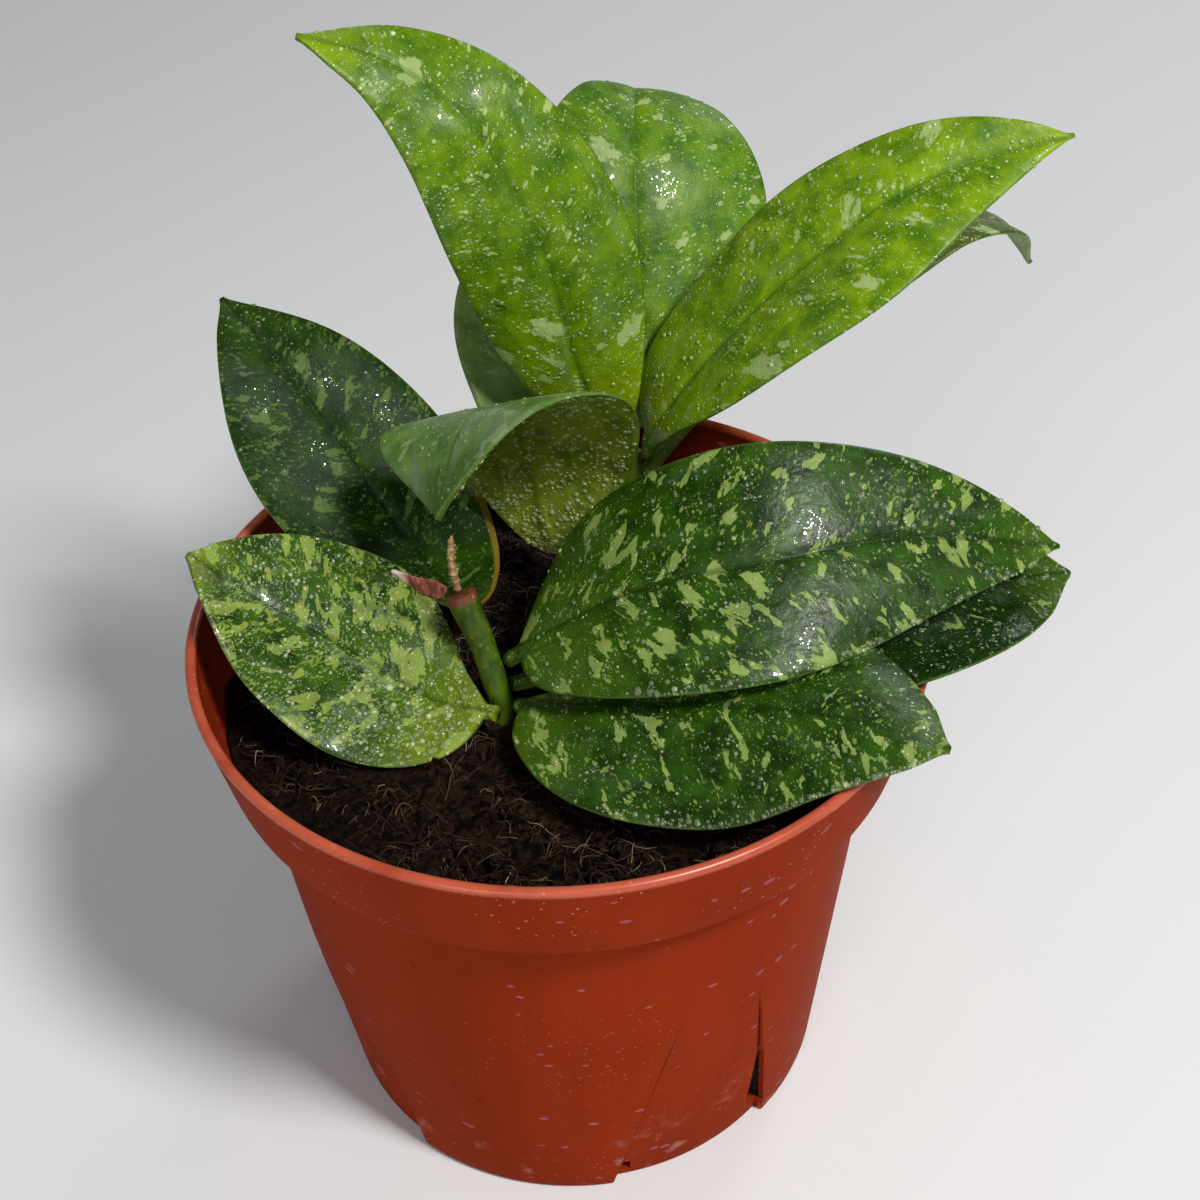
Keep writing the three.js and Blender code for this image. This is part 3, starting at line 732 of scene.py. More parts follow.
# %% Tubes
def spline_point(points, t):
    """Point of the smooth curve through given points, for t from 0 to 1"""
    place = clamp(t) * (len(points) - 1)
    k = min(int(place), len(points) - 2)
    w = place - k
    p1, p2 = points[k], points[k + 1]
    p0 = points[k - 1] if k > 0 else 2 * p1 - p2
    p3 = points[k + 2] if k + 2 < len(points) else 2 * p2 - p1
    ends = p1 * (2 * w ** 3 - 3 * w ** 2 + 1) + p2 * (3 * w ** 2 - 2 * w ** 3)
    slopes = (p2 - p0) * 0.5 * (w ** 3 - 2 * w ** 2 + w) + (p3 - p1) * 0.5 * (w ** 3 - w ** 2)
    return ends + slopes


def ring_frame(points, t, radius, flatness=1.0):
    """Matrix that puts the unit circle round the path, pressed flat if need be"""
    step = 0.002
    along = (spline_point(points, t + step) - spline_point(points, t - step)).normalized()
    aside = Vector((0, 1, 0)) if abs(along.y) < 0.9 else Vector((1, 0, 0))
    across = aside.cross(along).normalized()
    up = along.cross(across)
    turn = Matrix((across, up, along)).transposed().to_4x4()
    shape = Matrix.Diagonal((radius, radius * flatness, 1, 1))
    return Matrix.Translation(spline_point(points, t)) @ turn @ shape


def add_tube(whole, points, radius_at, sides, steps, flatness=1.0, tone=None):
    """Closed tube along a path, its radius given by a function of the share of the path"""
    points = [Vector(p) for p in points]
    frames = [ring_frame(points, k / steps, radius_at(k / steps), flatness) for k in range(steps + 1)]
    bm = bmesh.new()
    first = bmesh.ops.create_circle(bm, segments=sides, radius=1, matrix=frames[0])["verts"]
    ring = list({edge for vertex in first for edge in vertex.link_edges})
    ends = ring[:]
    for old, new in zip(frames, frames[1:]):
        made = bmesh.ops.extrude_edge_only(bm, edges=ring)["geom"]
        verts = [item for item in made if isinstance(item, bmesh.types.BMVert)]
        bmesh.ops.transform(bm, matrix=new @ old.inverted(), verts=verts)
        ring = [edge for edge in made if isinstance(edge, bmesh.types.BMEdge)
                and all(vertex in verts for vertex in edge.verts)]
    bmesh.ops.holes_fill(bm, edges=ends + ring, sides=0)
    bmesh.ops.recalc_face_normals(bm, faces=bm.faces[:])
    gather(whole, bm, tone)


def along_list(values):
    """Radius function that runs evenly through a list of values"""
    def radius_at(t):
        place = t * (len(values) - 1)
        k = min(int(place), len(values) - 2)
        return blend(values[k], values[k + 1], place - k)
    return radius_at


print("tube helper ready")

# %% Coir fibres
FIBRE_COUNT = 3600
FIBRE_SIDES, FIBRE_STEP, FIBRE_LIFT, FIBRE_WANDER = 3, 2.2, 0.1, 0.25
FIBRE_TAPER = (0.4, 1, 0.9, 0.3)
# Start, heading, length, radius, curl and arch of the long fibres
LONG_FIBRES = (((-19, -33), 1.9, 22, 0.16, -0.22, 1.5), ((13, -50), 0.6, 9, 0.3, -0.3, 1.0),
               ((-42, -22), 4.6, 8, 0.2, 0.3, 1.2), ((-30, -36), 0.2, 14, 0.12, 0.2, 1.2))


def add_fibre(bm, start, heading, length, radius, curl, arch):
    """A fibre that wanders over the soil and arches a little off it"""
    x, y = start
    points = []
    steps = max(int(length / FIBRE_STEP), 4)
    for k in range(steps + 1):
        rise = arch * math.sin(math.pi * k / steps)
        points.append((x, y, lumpy_height(x, y) + radius + FIBRE_LIFT + rise))
        heading += draw.gauss(curl, FIBRE_WANDER)
        x += length / steps * math.cos(heading)
        y += length / steps * math.sin(heading)
        if math.hypot(x, y) > SOIL_EDGE - 1:
            break
    if len(points) > 2:
        radii = along_list([radius * share for share in FIBRE_TAPER])
        add_tube(bm, points, radii, FIBRE_SIDES, len(points) + 2, tone=draw.random())


def fibre_material():
    material, bench, shader = new_material("coir")
    place = bench.own_place()
    patchy = bench.times(bench.noise(place, 260.0, 2.0), 0.25)
    shade = bench.step(bench.plus(bench.measure("tone"), patchy), 0.85, 1.17)
    colour = bench.mix(shade, srgb(62, 40, 30), srgb(166, 140, 110))
    normal = bench.bump(bench.noise(place, 1500.0, 2.0), 0.4, 0.0001)
    dress(bench, shader, Base_Color=colour, Roughness=0.75, Normal=normal)
    return material


fibres = new_heap()
for k in range(FIBRE_COUNT):
    add_fibre(fibres, spot_on_soil(), draw.uniform(0, 2 * math.pi), draw.uniform(2, 9),
              draw.uniform(0.04, 0.11), draw.gauss(0, 0.3), draw.uniform(0.1, 1.2))
for values in LONG_FIBRES:
    add_fibre(fibres, *values)
finish_piece("coir_fibres", fibres, [fibre_material()], ())

# %% [markdown]
# Two stems stand in the soil. The one behind carries the young shoot, the one in front was cut
# and has a swollen end. A wax plant's stem is a smooth green rod with slight rings where leaves
# sat and small corky spots, so the tube's radius swells at its rings and noise roughens it.

# %% Stems
SHOOT_PATH = [(12, 20, 72), (12.5, 24, 90), (14, 29, 106)]
STUB_PATH = [(-10, -11, 72), (-10, -10.5, 84), (-12, -7, 94), (-15.3, -3.2, 103)]
SHOOT_RADII, STUB_RADII = (2.3, 2.1, 1.75), (2.1, 2.1, 2.0, 2.55)
# Share of the path, height and width of each ring where a leaf sat
SHOOT_RINGS = ((0.5, 0.05, 0.03), (0.78, 0.06, 0.03))
STUB_RINGS = ((0.55, 0.05, 0.03), (0.93, 0.06, 0.03))
STEM_SIDES, STEM_STEPS, STEM_DENTS = 28, 64, (0.05, 1.1)
CUT_END_REACH, CUT_END_LOWEST = 2.9, 101.8


def stem_material(name, young, old, cork):
    material, bench, shader = new_material(name)
    place = bench.own_place()
    streaks = bench.noise(bench.stretch(place, (1, 1, 0.2)), 500.0, 4.0, 0.6)
    colour = bench.mix(bench.step(streaks, 0.35, 0.7), young, old)
    spots = bench.group(SPECKS, Vector=place, Scale=700.0, Amount=0.3)["Mask"]
    colour = bench.lay(colour, cork, spots, 0.7)
    rough = bench.plus(bench.times(streaks, 0.3), 0.3)
    normal = bench.bump(streaks, 0.4, 0.0003)
    dress(bench, shader, Base_Color=colour, Roughness=rough, Normal=normal)
    return material


def roughen(bm, amount, scale, seed):
    """Moves every point along its normal by a little noise"""
    bm.normal_update()
    for vertex in bm.verts:
        swell = noise.fractal(vertex.co * scale + Vector((seed, 0, 0)), 1.0, 2.0, 3)
        vertex.co += vertex.normal * (amount * swell)


def stem_piece(name, path, radii, rings, node, materials):
    """Stem with swollen rings. A second material goes on the cut end"""
    base = along_list(radii)

    def radius_at(t):
        swell = sum(height * math.exp(-((t - at) / wide) ** 2) for at, height, wide in rings)
        return base(t) + swell

    bm = bmesh.new()
    add_tube(bm, path, radius_at, STEM_SIDES, STEM_STEPS)
    roughen(bm, *STEM_DENTS, len(path))
    for face in bm.faces:
        middle = face.calc_center_median()
        near = (middle - Vector(path[-1])).length < CUT_END_REACH
        if len(materials) > 1 and near and middle.z > CUT_END_LOWEST:
            face.material_index = 1
    finish_piece(name, bm, materials, [node], sharp=50)


GREEN_STEM = stem_material("green_stem", srgb(74, 98, 6), srgb(36, 60, 2), srgb(112, 104, 50))
CUT_END = stem_material("cut_end", srgb(120, 66, 40), srgb(92, 52, 34), srgb(170, 130, 92))
stem_piece("shoot_stem_fine", SHOOT_PATH, SHOOT_RADII, SHOOT_RINGS, "shoot_stem", [GREEN_STEM])
stem_piece("stub_stem_fine", STUB_PATH, STUB_RADII, STUB_RINGS, "stub_stem", [GREEN_STEM, CUT_END])

# %% [markdown]
# On the cut end sit a dried flower stalk, thin and knobbly with the scars of old flowers, and a
# reddish-brown scrap of dried sheath. Both are tubes again: knobs come from a radius that swells
# at steps along the stalk, and the scrap is pressed flat and crumpled with noise.

# %% Dried bits
PEDUNCLE_PATH = [(-15.6, -2.9, 103.5), (-16.2, -2.2, 108), (-16, -2, 113)]
PEDUNCLE_RADII, KNOBS, KNOB_HEIGHT = (0.5, 0.62, 0.56, 0.42), 6.5, 0.16
SCAR_LENGTH, SCAR_RADII = 0.8, (0.3, 0.22, 0.26)
FLOWER_SCARS = ((0.35, 0.5), (0.55, 2.4), (0.72, 4.2), (0.86, 5.8), (0.95, 1.4))
SCRAP_PATH = [(-17.6, -3.5, 103.5), (-21, -3.4, 105.2), (-25.5, -3, 108.2)]
SCRAP_RADII, SCRAP_FLATNESS = (1.2, 1.8, 1.7, 1.3, 0.8, 0.15), 0.22
BLEACHED_SPAN = (-22.8, -24.6)


def dried_material(name, dark, light, tip, bleached=None):
    material, bench, shader = new_material(name)
    place = bench.own_place()
    fibre = bench.noise(bench.stretch(place, (1, 1, 0.3)), 1400.0, 4.0, 0.6)
    colour = bench.mix(bench.step(fibre, 0.35, 0.68), dark, light)
    pale = bench.step(bench.noise(place, 300.0, 3.0), 0.55, 0.7)
    colour = bench.lay(colour, tip, pale, 0.6)
    if bleached is not None:
        low, high = bleached
        colour = bench.mix(bench.step(bench.split(place)[0], low * MM, high * MM), colour, tip)
    normal = bench.bump(fibre, 0.7, 0.0003)
    dress(bench, shader, Base_Color=colour, Roughness=0.8, Normal=normal)
    return material


def knobbly(t):
    """Radius of the flower stalk, with a knob at every old flower"""
    knobs = KNOB_HEIGHT * max(math.sin(2 * math.pi * KNOBS * t), 0) ** 2
    return along_list(PEDUNCLE_RADII)(t) + knobs


peduncle = bmesh.new()
add_tube(peduncle, PEDUNCLE_PATH, knobbly, 16, 60)
for at, angle in FLOWER_SCARS:
    base = spline_point([Vector(p) for p in PEDUNCLE_PATH], at)
    out = Vector((math.cos(angle), math.sin(angle), 0.7)) * SCAR_LENGTH
    add_tube(peduncle, [base, base + out * 0.6, base + out], along_list(SCAR_RADII), 8, 6)
roughen(peduncle, 0.07, 2.0, 3)
DRY_STALK = dried_material("dry_stalk", srgb(128, 92, 54), srgb(196, 160, 108), srgb(214, 190, 150))
finish_piece("dried_stalk_fine", peduncle, [DRY_STALK], ["dried_peduncle"])

scrap = bmesh.new()
add_tube(scrap, SCRAP_PATH, along_list(SCRAP_RADII), 24, 48, SCRAP_FLATNESS)
roughen(scrap, 0.22, 0.8, 9)
DRY_SCRAP = dried_material("dry_scrap", srgb(96, 44, 30), srgb(150, 88, 66), srgb(214, 192, 178),
                           BLEACHED_SPAN)
finish_piece("dried_scrap_fine", scrap, [DRY_SCRAP], ["dried_scar"])

# %% [markdown]
# A leaf of this plant is a thick waxy oval with a pointed tip. Here each leaf is a surface with
# two measures: how far along the midrib a point is, and how far out towards the margin. A fine
# grid is made first, and every point of it is then put where the leaf's curve, width, fold and
# waves say. Sculpting would look as good for one leaf, but eleven must meet their packed forms.

# %% Leaf forms
LEAF_FORMS = {
    "upper_left": dict(
        rib=[(10.5, 29.5, 105), (5, 30, 124), (0, 31, 146), (-9.5, 33, 165), (-21, 38, 173), (-34, 37, 178)],
        half=(14, 14.5), up=[(-0.4, -0.9, 0), (0.2, -0.9, 0.2), (0.3, -0.3, 0.9)],
        taper=((0.6, 0.8), (0.6, 0.9)), fold=(0.1, 0.1), cup=(-0.2, -0.2), wave=0.6),
    "top_centre": dict(
        rib=[(14, 31.5, 105.5), (16, 42, 125), (17, 56, 145), (18, 71, 151), (19, 84, 145)],
        half=(19, 24), up=[(0, -0.8, 0.6), (0.2, -0.8, 0.6), (0, -0.2, 1)],
        taper=((0.8, 1.1), (0.8, 0.8)), fold=(0.1, 0.1), cup=(-0.1, -0.2), wave=0.6),
    "upper_right": dict(
        rib=[(16.5, 27, 106), (23, 25, 121), (41, 26, 141), (61, 29, 154), (83, 31, 159)],
        half=(15, 17.5), up=[(-0.7, -0.3, 0.6), (-0.5, -0.3, 0.8), (0, -0.8, 0.6)],
        taper=((0.4, 0.8), (1.1, 1.3)), fold=(0.2, 0.2), cup=(-0.1, -0.1), wave=0.5),
    "back_right": dict(
        rib=[(15, 29.5, 99), (34, 46, 110), (55, 55, 121), (71, 61, 128), (84, 66, 125), (92, 73, 113)],
        half=(14, 9.5), up=[(-0.5, -0.3, 0.8), (-0.5, -0.1, 0.8), (0.7, 0.2, 0.6)],
        taper=((0.6, 0.9), (1.6, 1.2)), fold=(0.1, 0.1), cup=(-0.1, -0.1), wave=0.5),
    "back_left": dict(
        rib=[(11, 28.5, 97), (3, 40, 106), (-5, 49, 120), (-9, 58, 132)],
        half=(14, 14), up=[(0.3, -0.6, 0.7), (0.4, -0.6, 0.7), (0.3, -0.5, 0.8)],
        taper=((0.5, 0.7), (0.5, 0.7)), fold=(0.1, 0.1), cup=(-0.1, -0.1), wave=0.5),
    "left_upright": dict(
        rib=[(-13.5, -2, 97.5), (-21, 15, 93.5), (-32, 27, 105), (-44, 38, 120.5), (-54, 47, 129)],
        half=(16.5, 17), up=[(0.4, -0.5, 0.8), (0.2, -0.7, 0.7), (0.5, -0.4, 0.8)],
        taper=((1.1, 0.9), (0.8, 0.9)), fold=(0.1, 0.1), cup=(-0.1, -0.1), wave=0.5),
    "curled_middle": dict(
        rib=[(10, 22, 89.5), (0, 18, 96), (-3, 20, 109), (-7, 13, 126), (-13, 2, 130), (-17, -10, 123)],
        half=(21, 20), up=[(-0.5, 0.7, 0.5), (0, 0.5, 0.9), (-1, -0.1, 0.3)],
        taper=((0.9, 0.6), (1.5, 0.8)), fold=(0.05, 0.05), cup=(-0.1, -0.1), wave=0.4),
    "lower_left": dict(
        rib=[(-10.5, -15.8, 88.5), (-20, -11, 87.5), (-34, -4, 93.5), (-47, 1, 100), (-58, 3, 109)],
        half=(17.5, 17), up=[(0.2, -0.6, 0.7), (0, -0.3, 0.9), (0, -0.2, 1)],
        taper=((0.6, 0.8), (1, 0.9)), fold=(0.2, 0.1), cup=(-0.05, -0.05), wave=0.6),
    "right_top": dict(
        rib=[(-8.5, -6.7, 91.5), (9, -10, 106), (31, -12, 113), (56, -6, 111.5), (80, -1, 104)],
        half=(20, 19), up=[(-0.1, 0, 1), (0.2, -0.5, 0.8), (0.2, -0.5, 0.8)],
        taper=((0.4, 0.8), (0.5, 0.9)), fold=(0.1, 0.1), cup=(-0.1, -0.1), wave=0.6),
    "right_lower": dict(
        rib=[(-7.3, -11, 85.5), (6, -21, 94), (23, -27, 98), (39, -33, 100.5), (55, -41, 100)],
        half=(19.5, 19.5), up=[(0.2, 0, 1), (-0.2, -0.4, 0.9), (0, 0, 1)],
        taper=((0.6, 0.6), (0.6, 0.8)), fold=(-0.2, 0.1), cup=(-0.1, -0.1), wave=0.6),
    "right_under": dict(
        rib=[(-8.5, -7, 86.5), (14, -3, 88), (38, -5, 94.5), (60, -5, 99), (82, -3, 100)],
        half=(18, 20), up=[(0, 0, 1), (0, 0, 1), (0, -0.1, 1)],
        taper=((0.8, 0.5), (1.3, 0.8)), fold=(0.05, 0.05), cup=(-0.05, 0), wave=0.5),
}
print(len(LEAF_FORMS), "leaf forms")

# %% The surface of a leaf
BLADE_HALF_THICKNESS, STALK_RADIUS, KEEL = 0.45, 1.3, 0.5
STALK_SHARE, STALK_FADE, FLATTENING = 0.04, 0.1, 0.12
RIB_REACH, WAVES_ALONG, WAVE_SHIFT = 0.12, 2.3, 0.35
GROOVE_DEPTH, GROOVE_WIDTH, KEEL_WIDTH = 0.3, 0.9, 1.1
MARGIN_POWER, LEAST_MARGIN, LEAST_HALF_WIDTH = 24, 0.04, 0.35
PUCKER_HEIGHT, PUCKER_SCALE, PUCKER_ACROSS = 0.35, 0.09, 15
STATIONS, TIP_START = 400, 17 / 18


class Leaf:
    """A leaf's middle surface: u runs from stalk to tip, v from -1 at the left margin to 1"""

    def __init__(self, name):
        self.name = name
        form = LEAF_FORMS[name]
        self.rib = [Vector(p) for p in form["rib"]]
        self.up = [Vector(p) for p in form["up"]]
        self.half, self.taper = form["half"], form["taper"]
        self.fold, self.cup, self.wave = form["fold"], form["cup"], form["wave"]
        self.seed = sum(map(ord, name)) % 97
        self.stations = [spline_point(self.rib, k / STATIONS) for k in range(STATIONS + 1)]
        self.reached = [0.0]
        for a, b in zip(self.stations, self.stations[1:]):
            self.reached.append(self.reached[-1] + (b - a).length)
        self.length = self.reached[-1]
        self.frames = {}

    def rib_point(self, u):
        """Point at a share of the midrib's length"""
        goal = clamp(u) * self.length
        low, high = 0, len(self.reached) - 1
        while high - low > 1:
            middle = (low + high) // 2
            if self.reached[middle] > goal:
                high = middle
            else:
                low = middle
        share = (goal - self.reached[low]) / (self.reached[high] - self.reached[low])
        return self.stations[low].lerp(self.stations[high], share)

    def frame(self, u):
        """Point of the midrib, the way up from it and the way to the right"""
        if u not in self.frames:
            ahead, behind = self.rib_point(min(u + RIB_REACH, 1)), self.rib_point(max(u - RIB_REACH, 0))
            along = (ahead - behind).normalized()
            a, b, c = self.up
            up = a * (1 - u) * (1 - 2 * u) + b * 4 * u * (1 - u) + c * u * (2 * u - 1)
            up = (up - along * up.dot(along)).normalized()
            self.frames[u] = (self.rib_point(u), up, along.cross(up))
        return self.frames[u]

    def breadth(self, side, u):
        """Width of one half as a share of its widest, running straight into the point"""
        base, tip = self.taper[side]
        t = clamp((min(u, TIP_START) - STALK_SHARE) / (1 - STALK_SHARE))
        widest = base / (base + tip)
        share = t ** base * (1 - t) ** tip / (widest ** base * (1 - widest) ** tip)
        return share * clamp((1 - u) / (1 - TIP_START))

    def half_width(self, side, u):
        stalk = STALK_RADIUS * (1 - clamp((u - STALK_SHARE) / STALK_FADE))
        return max(self.half[side] * self.breadth(side, u) + stalk, LEAST_HALF_WIDTH)

    def point(self, u, v):
        middle, up, right = self.frame(u)
        side = 0 if v < 0 else 1
        half = self.half_width(side, u)
        q = abs(v)
        wave = math.sin(2 * math.pi * (WAVES_ALONG * u + WAVE_SHIFT * side))
        ripple = self.wave * self.breadth(side, u) * q ** 3 * wave
        lift = half * (self.fold[side] * q + self.cup[side] * q * q) + ripple
        return middle + right * (v * half) + up * lift

    def normal(self, u, v):
        near = 0.002
        ahead = self.point(min(u + near, 1), v) - self.point(max(u - near, 0), v)
        right = self.point(u, min(v + near, 1)) - self.point(u, max(v - near, -1))
        return right.cross(ahead).normalized()

    def thickness(self, u, v):
        """Thickness above and below the middle surface, with the rounded margin and the midrib"""
        blade = smooth(u, STALK_SHARE, STALK_SHARE + FLATTENING)
        margin = math.sqrt(max(1 - abs(v) ** MARGIN_POWER, LEAST_MARGIN))
        flat = BLADE_HALF_THICKNESS * margin
        stalk = max(STALK_RADIUS * math.sqrt(max(1 - v * v, 0)), flat)
        away = self.half_width(0 if v < 0 else 1, u) * abs(v)
        groove = GROOVE_DEPTH * math.exp(-(away / GROOVE_WIDTH) ** 2) * (1 - u ** 4)
        keel = KEEL * (1 - u) * math.exp(-(away / KEEL_WIDTH) ** 2)
        return blend(stalk, flat - groove, blade), blend(stalk, flat + keel, blade)

    def pucker(self, u, v):
        """Slight unevenness of the blade, nothing at the stalk and the margins"""
        fade = smooth(u, 0.1, 0.3) * (1 - v ** 4)
        spot = Vector((u * self.length, v * PUCKER_ACROSS, self.seed)) * PUCKER_SCALE
        return PUCKER_HEIGHT * fade * noise.noise(spot)

    def surface(self, u, v, above=True):
        """Point on the upper or the lower face, and the way out from it"""
        normal = self.normal(u, v)
        over, under = self.thickness(u, v)
        middle = self.point(u, v) + normal * self.pucker(u, v)
        return (middle + normal * over, normal) if above else (middle - normal * under, -normal)


LEAVES = {name: Leaf(name) for name in LEAF_FORMS}
print({name: round(leaf.length) for name, leaf in LEAVES.items()})

# %% Leaf meshes
STEPS_ALONG = 84
STEPS_ACROSS = 44
MAP_SCALE = 0.01


def mark_leaf(bm, leaf, measure_of, wet):
    """Writes the leaf's own measures into its UV maps, and how wet it is at every point"""
    share = bm.loops.layers.uv.new("share")
    spread = bm.loops.layers.uv.new("spread")
    drop = bm.verts.layers.float.new("wet")
    for vertex in bm.verts:
        vertex[drop] = wet
    for face in bm.faces:
        for loop in face.loops:
            u, v = measure_of(loop.vert)
            side = 0 if v < 0 else 1
            loop[share].uv = (u, (v + 1) / 2)
            loop[spread].uv = (u * leaf.length * MAP_SCALE, v * leaf.half_width(side, u) * MAP_SCALE)


def leaf_bmesh(leaf):
    """Grid with an upper and a lower face, each point placed by the leaf's own measures"""
    bm = bmesh.new()
    bmesh.ops.create_grid(bm, x_segments=STEPS_ALONG, y_segments=STEPS_ACROSS, size=1)
    measure = bm.verts.layers.float_vector.new("measure")
    for vertex in bm.verts:
        q = abs(vertex.co.y)
        across = math.copysign(q * q * (3 - 2 * q), vertex.co.y)
        vertex[measure] = ((vertex.co.x + 1) / 2, across, 0)
    lower = bm.faces[:]
    made = bmesh.ops.extrude_face_region(bm, geom=lower, use_keep_orig=True)["geom"]
    upper = [item for item in made if isinstance(item, bmesh.types.BMFace)]
    raised = {vertex for face in upper for vertex in face.verts}
    for vertex in bm.verts:
        u, v, _ = vertex[measure]
        vertex.co = leaf.surface(u, v, vertex in raised)[0]
    bmesh.ops.recalc_face_normals(bm, faces=bm.faces[:])
    for face in lower:
        face.material_index = 1
    mark_leaf(bm, leaf, lambda vertex: vertex[measure][:2], 0.0)
    return bm


def keep_inside(bm, node):
    """Holds every point within the box of the node that the piece stands for"""
    low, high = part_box(node)
    for vertex in bm.verts:
        for axis in range(3):
            vertex.co[axis] = clamp(vertex.co[axis], low[axis] / MM, high[axis] / MM)


print("leaf grid:", STEPS_ALONG, "x", STEPS_ACROSS)

# %% [markdown]
# The skin of a leaf is dark or young green with paler splashes. The splashes are ragged and
# lie along the side veins, so their noise is read on coordinates that run along those veins.
# Finer flecks are scattered between them, and the veins themselves are slightly sunken. One
# shared effect gives these masks for every leaf, and each leaf mixes its own colours with them.

# %% A shared effect: the pattern of a blade
def blade_group():
    """Masks of splashes, flecks, waxy film with painted sheen, margin, midrib and ends, and a relief of
    veins
    """
    group, bench, given, result = new_group(
        "blade_pattern",
        [("Spread", "NodeSocketVector", None), ("Share", "NodeSocketVector", None),
         ("Seed", "NodeSocketFloat", 0.0), ("Splash", "NodeSocketFloat", 0.5),
         ("Blotch", "NodeSocketFloat", 0.3), ("Fleck", "NodeSocketFloat", 0.5)],
        [("Splash", "NodeSocketFloat"), ("Fleck", "NodeSocketFloat"), ("BloomAndSheen", "NodeSocketFloat"),
         ("Margin", "NodeSocketFloat"), ("Midrib", "NodeSocketFloat"), ("Relief", "NodeSocketFloat"),
         ("Mottle", "NodeSocketFloat"), ("Ends", "NodeSocketFloat")])
    along, across, _ = bench.split(given["Spread"])
    out = bench.math("ABSOLUTE", across)
    vein = bench.minus(along, bench.times(out, 0.45))

    def along_veins(stretch, shift):
        return bench.put("ShaderNodeCombineXYZ", X=bench.times(vein, stretch), Y=across,
                         Z=bench.plus(given["Seed"], shift))

    def spots(vector, scale, share, reach, uneven):
        """Round patches: a share of the cells of a cell pattern holds one, each of its own size"""
        away, luck = bench.cells(vector, scale, 0.75)
        chosen = bench.put("ShaderNodeMapRange", Value=luck, From_Min=bench.minus(1.0, share),
                           From_Max=1.0, To_Max=reach)
        edge = bench.times(bench.minus(bench.noise(vector, scale * 5, 4.0), 0.5), uneven)
        left = bench.minus(chosen, bench.plus(away, edge))
        return bench.times(bench.step(left, 0.0, 0.07), bench.math("GREATER_THAN", chosen, 0.0))

    plain = bench.put("ShaderNodeCombineXYZ", X=along, Y=across, Z=given["Seed"])
    ragged = bench.noise(along_veins(1.6, 0.0), 20.0, 8.0, 0.6, 0.4)
    level = bench.plus(bench.times(bench.noise(plain, 7.0, 2.0), 0.3), given["Splash"])
    splash = bench.step(bench.plus(ragged, level), 1.155, 1.175)
    blotch = spots(along_veins(1.3, 2.0), 11.0, given["Blotch"], 0.4, 0.6)
    patch = spots(along_veins(1.5, 6.0), 30.0, bench.times(given["Blotch"], 0.5), 0.42, 0.6)
    bench.feed(result["Splash"], bench.larger(splash, bench.larger(blotch, patch)))

    small = bench.noise(along_veins(1.6, 5.0), 95.0, 5.0, 0.65)
    crowd = bench.noise(along_veins(1.0, 9.0), 16.0, 3.0)
    level = bench.plus(bench.times(crowd, 0.4), given["Fleck"])
    streaks = bench.step(bench.plus(small, level), 1.43, 1.46)
    share = bench.times(bench.step(crowd, 0.35, 0.65), given["Fleck"])
    dots = spots(along_veins(1.5, 4.0), 75.0, share, 0.45, 0.4)
    bench.feed(result["Fleck"], bench.larger(streaks, dots))

    # Pale grey-green patches: partly the leaf's waxy film, partly painted sheen
    drawn = bench.put("ShaderNodeCombineXYZ", X=bench.times(along, 0.3), Y=across,
                      Z=bench.plus(given["Seed"], 3.0))
    bench.feed(result["BloomAndSheen"], bench.step(bench.noise(drawn, 22.0, 5.0, 0.6), 0.5, 0.72))
    bench.feed(result["Mottle"], bench.noise(plain, 20.0, 5.0, 0.6))

    share_along, share_across, _ = bench.split(given["Share"])
    foot, tip = bench.step(share_along, 0.34, 0.06), bench.step(share_along, 0.86, 0.99)
    bench.feed(result["Ends"], bench.larger(foot, tip))
    centred = bench.math("ABSOLUTE", bench.minus(bench.times(share_across, 2.0), 1.0))
    bench.feed(result["Margin"], bench.step(centred, 0.975, 1.0))
    bench.feed(result["Midrib"], bench.step(out, 0.008, 0.002))

    veins = bench.step(bench.math("PINGPONG", bench.plus(vein, 1.0), 0.035), 0.006, 0.0)
    swell = bench.step(bench.noise(plain, 24.0, 3.0), 0.25, 0.75)
    bench.feed(result["Relief"], bench.minus(bench.times(swell, 0.6), bench.times(veins, 0.08)))
    return group


BLADE_PATTERN = blade_group()
print("group", BLADE_PATTERN.name)

# %% [markdown]
# The finest drops of water are too many and too small for shapes of their own, so they are a
# pattern as well. In a cell pattern every cell has a middle and draws a number by chance. Here the
# number says how large the cell's drop is, often very small, and the distance from the middle
# gives the drop its outline, a painted glint at its middle and its round relief.

# %% A shared effect: fine spray
def spray_group():
    """Tiny round drops of many sizes: where they are, a painted glint at their middles, and their relief"""
    group, bench, given, result = new_group(
        "fine_spray",
        [("Vector", "NodeSocketVector", None), ("Scale", "NodeSocketFloat", 90.0),
         ("Amount", "NodeSocketFloat", 0.5)],
        [("Mask", "NodeSocketFloat"), ("Core", "NodeSocketFloat"), ("Relief", "NodeSocketFloat")])
    away, luck = bench.cells(given["Vector"], given["Scale"])
    patches = bench.times(bench.noise(given["Vector"], 12.0, 3.0), given["Amount"])
    size = bench.times(bench.math("POWER", luck, 2.5), patches)
    cap = bench.larger(bench.math("DIVIDE", bench.minus(size, away), size), 0.0)
    bench.feed(result["Mask"], bench.step(cap, 0.0, 0.15))
    bench.feed(result["Core"], bench.step(cap, 0.3, 0.6))
    bench.feed(result["Relief"], bench.times(bench.math("POWER", cap, 0.5), size))
    return group


SPRAY = spray_group()
print("group", SPRAY.name)

# %% Leaf skins
DROP_SCALE, MIST_SCALE = 130.0, 300.0
# The two pale colours are painted light: a pale sheen over the drops and a near-white glint at their middles
PAINTED_DROP_SHEEN, PAINTED_GLINT_COLOUR, YELLOW = srgb(214, 224, 180), srgb(226, 234, 196), srgb(122, 98, 24)


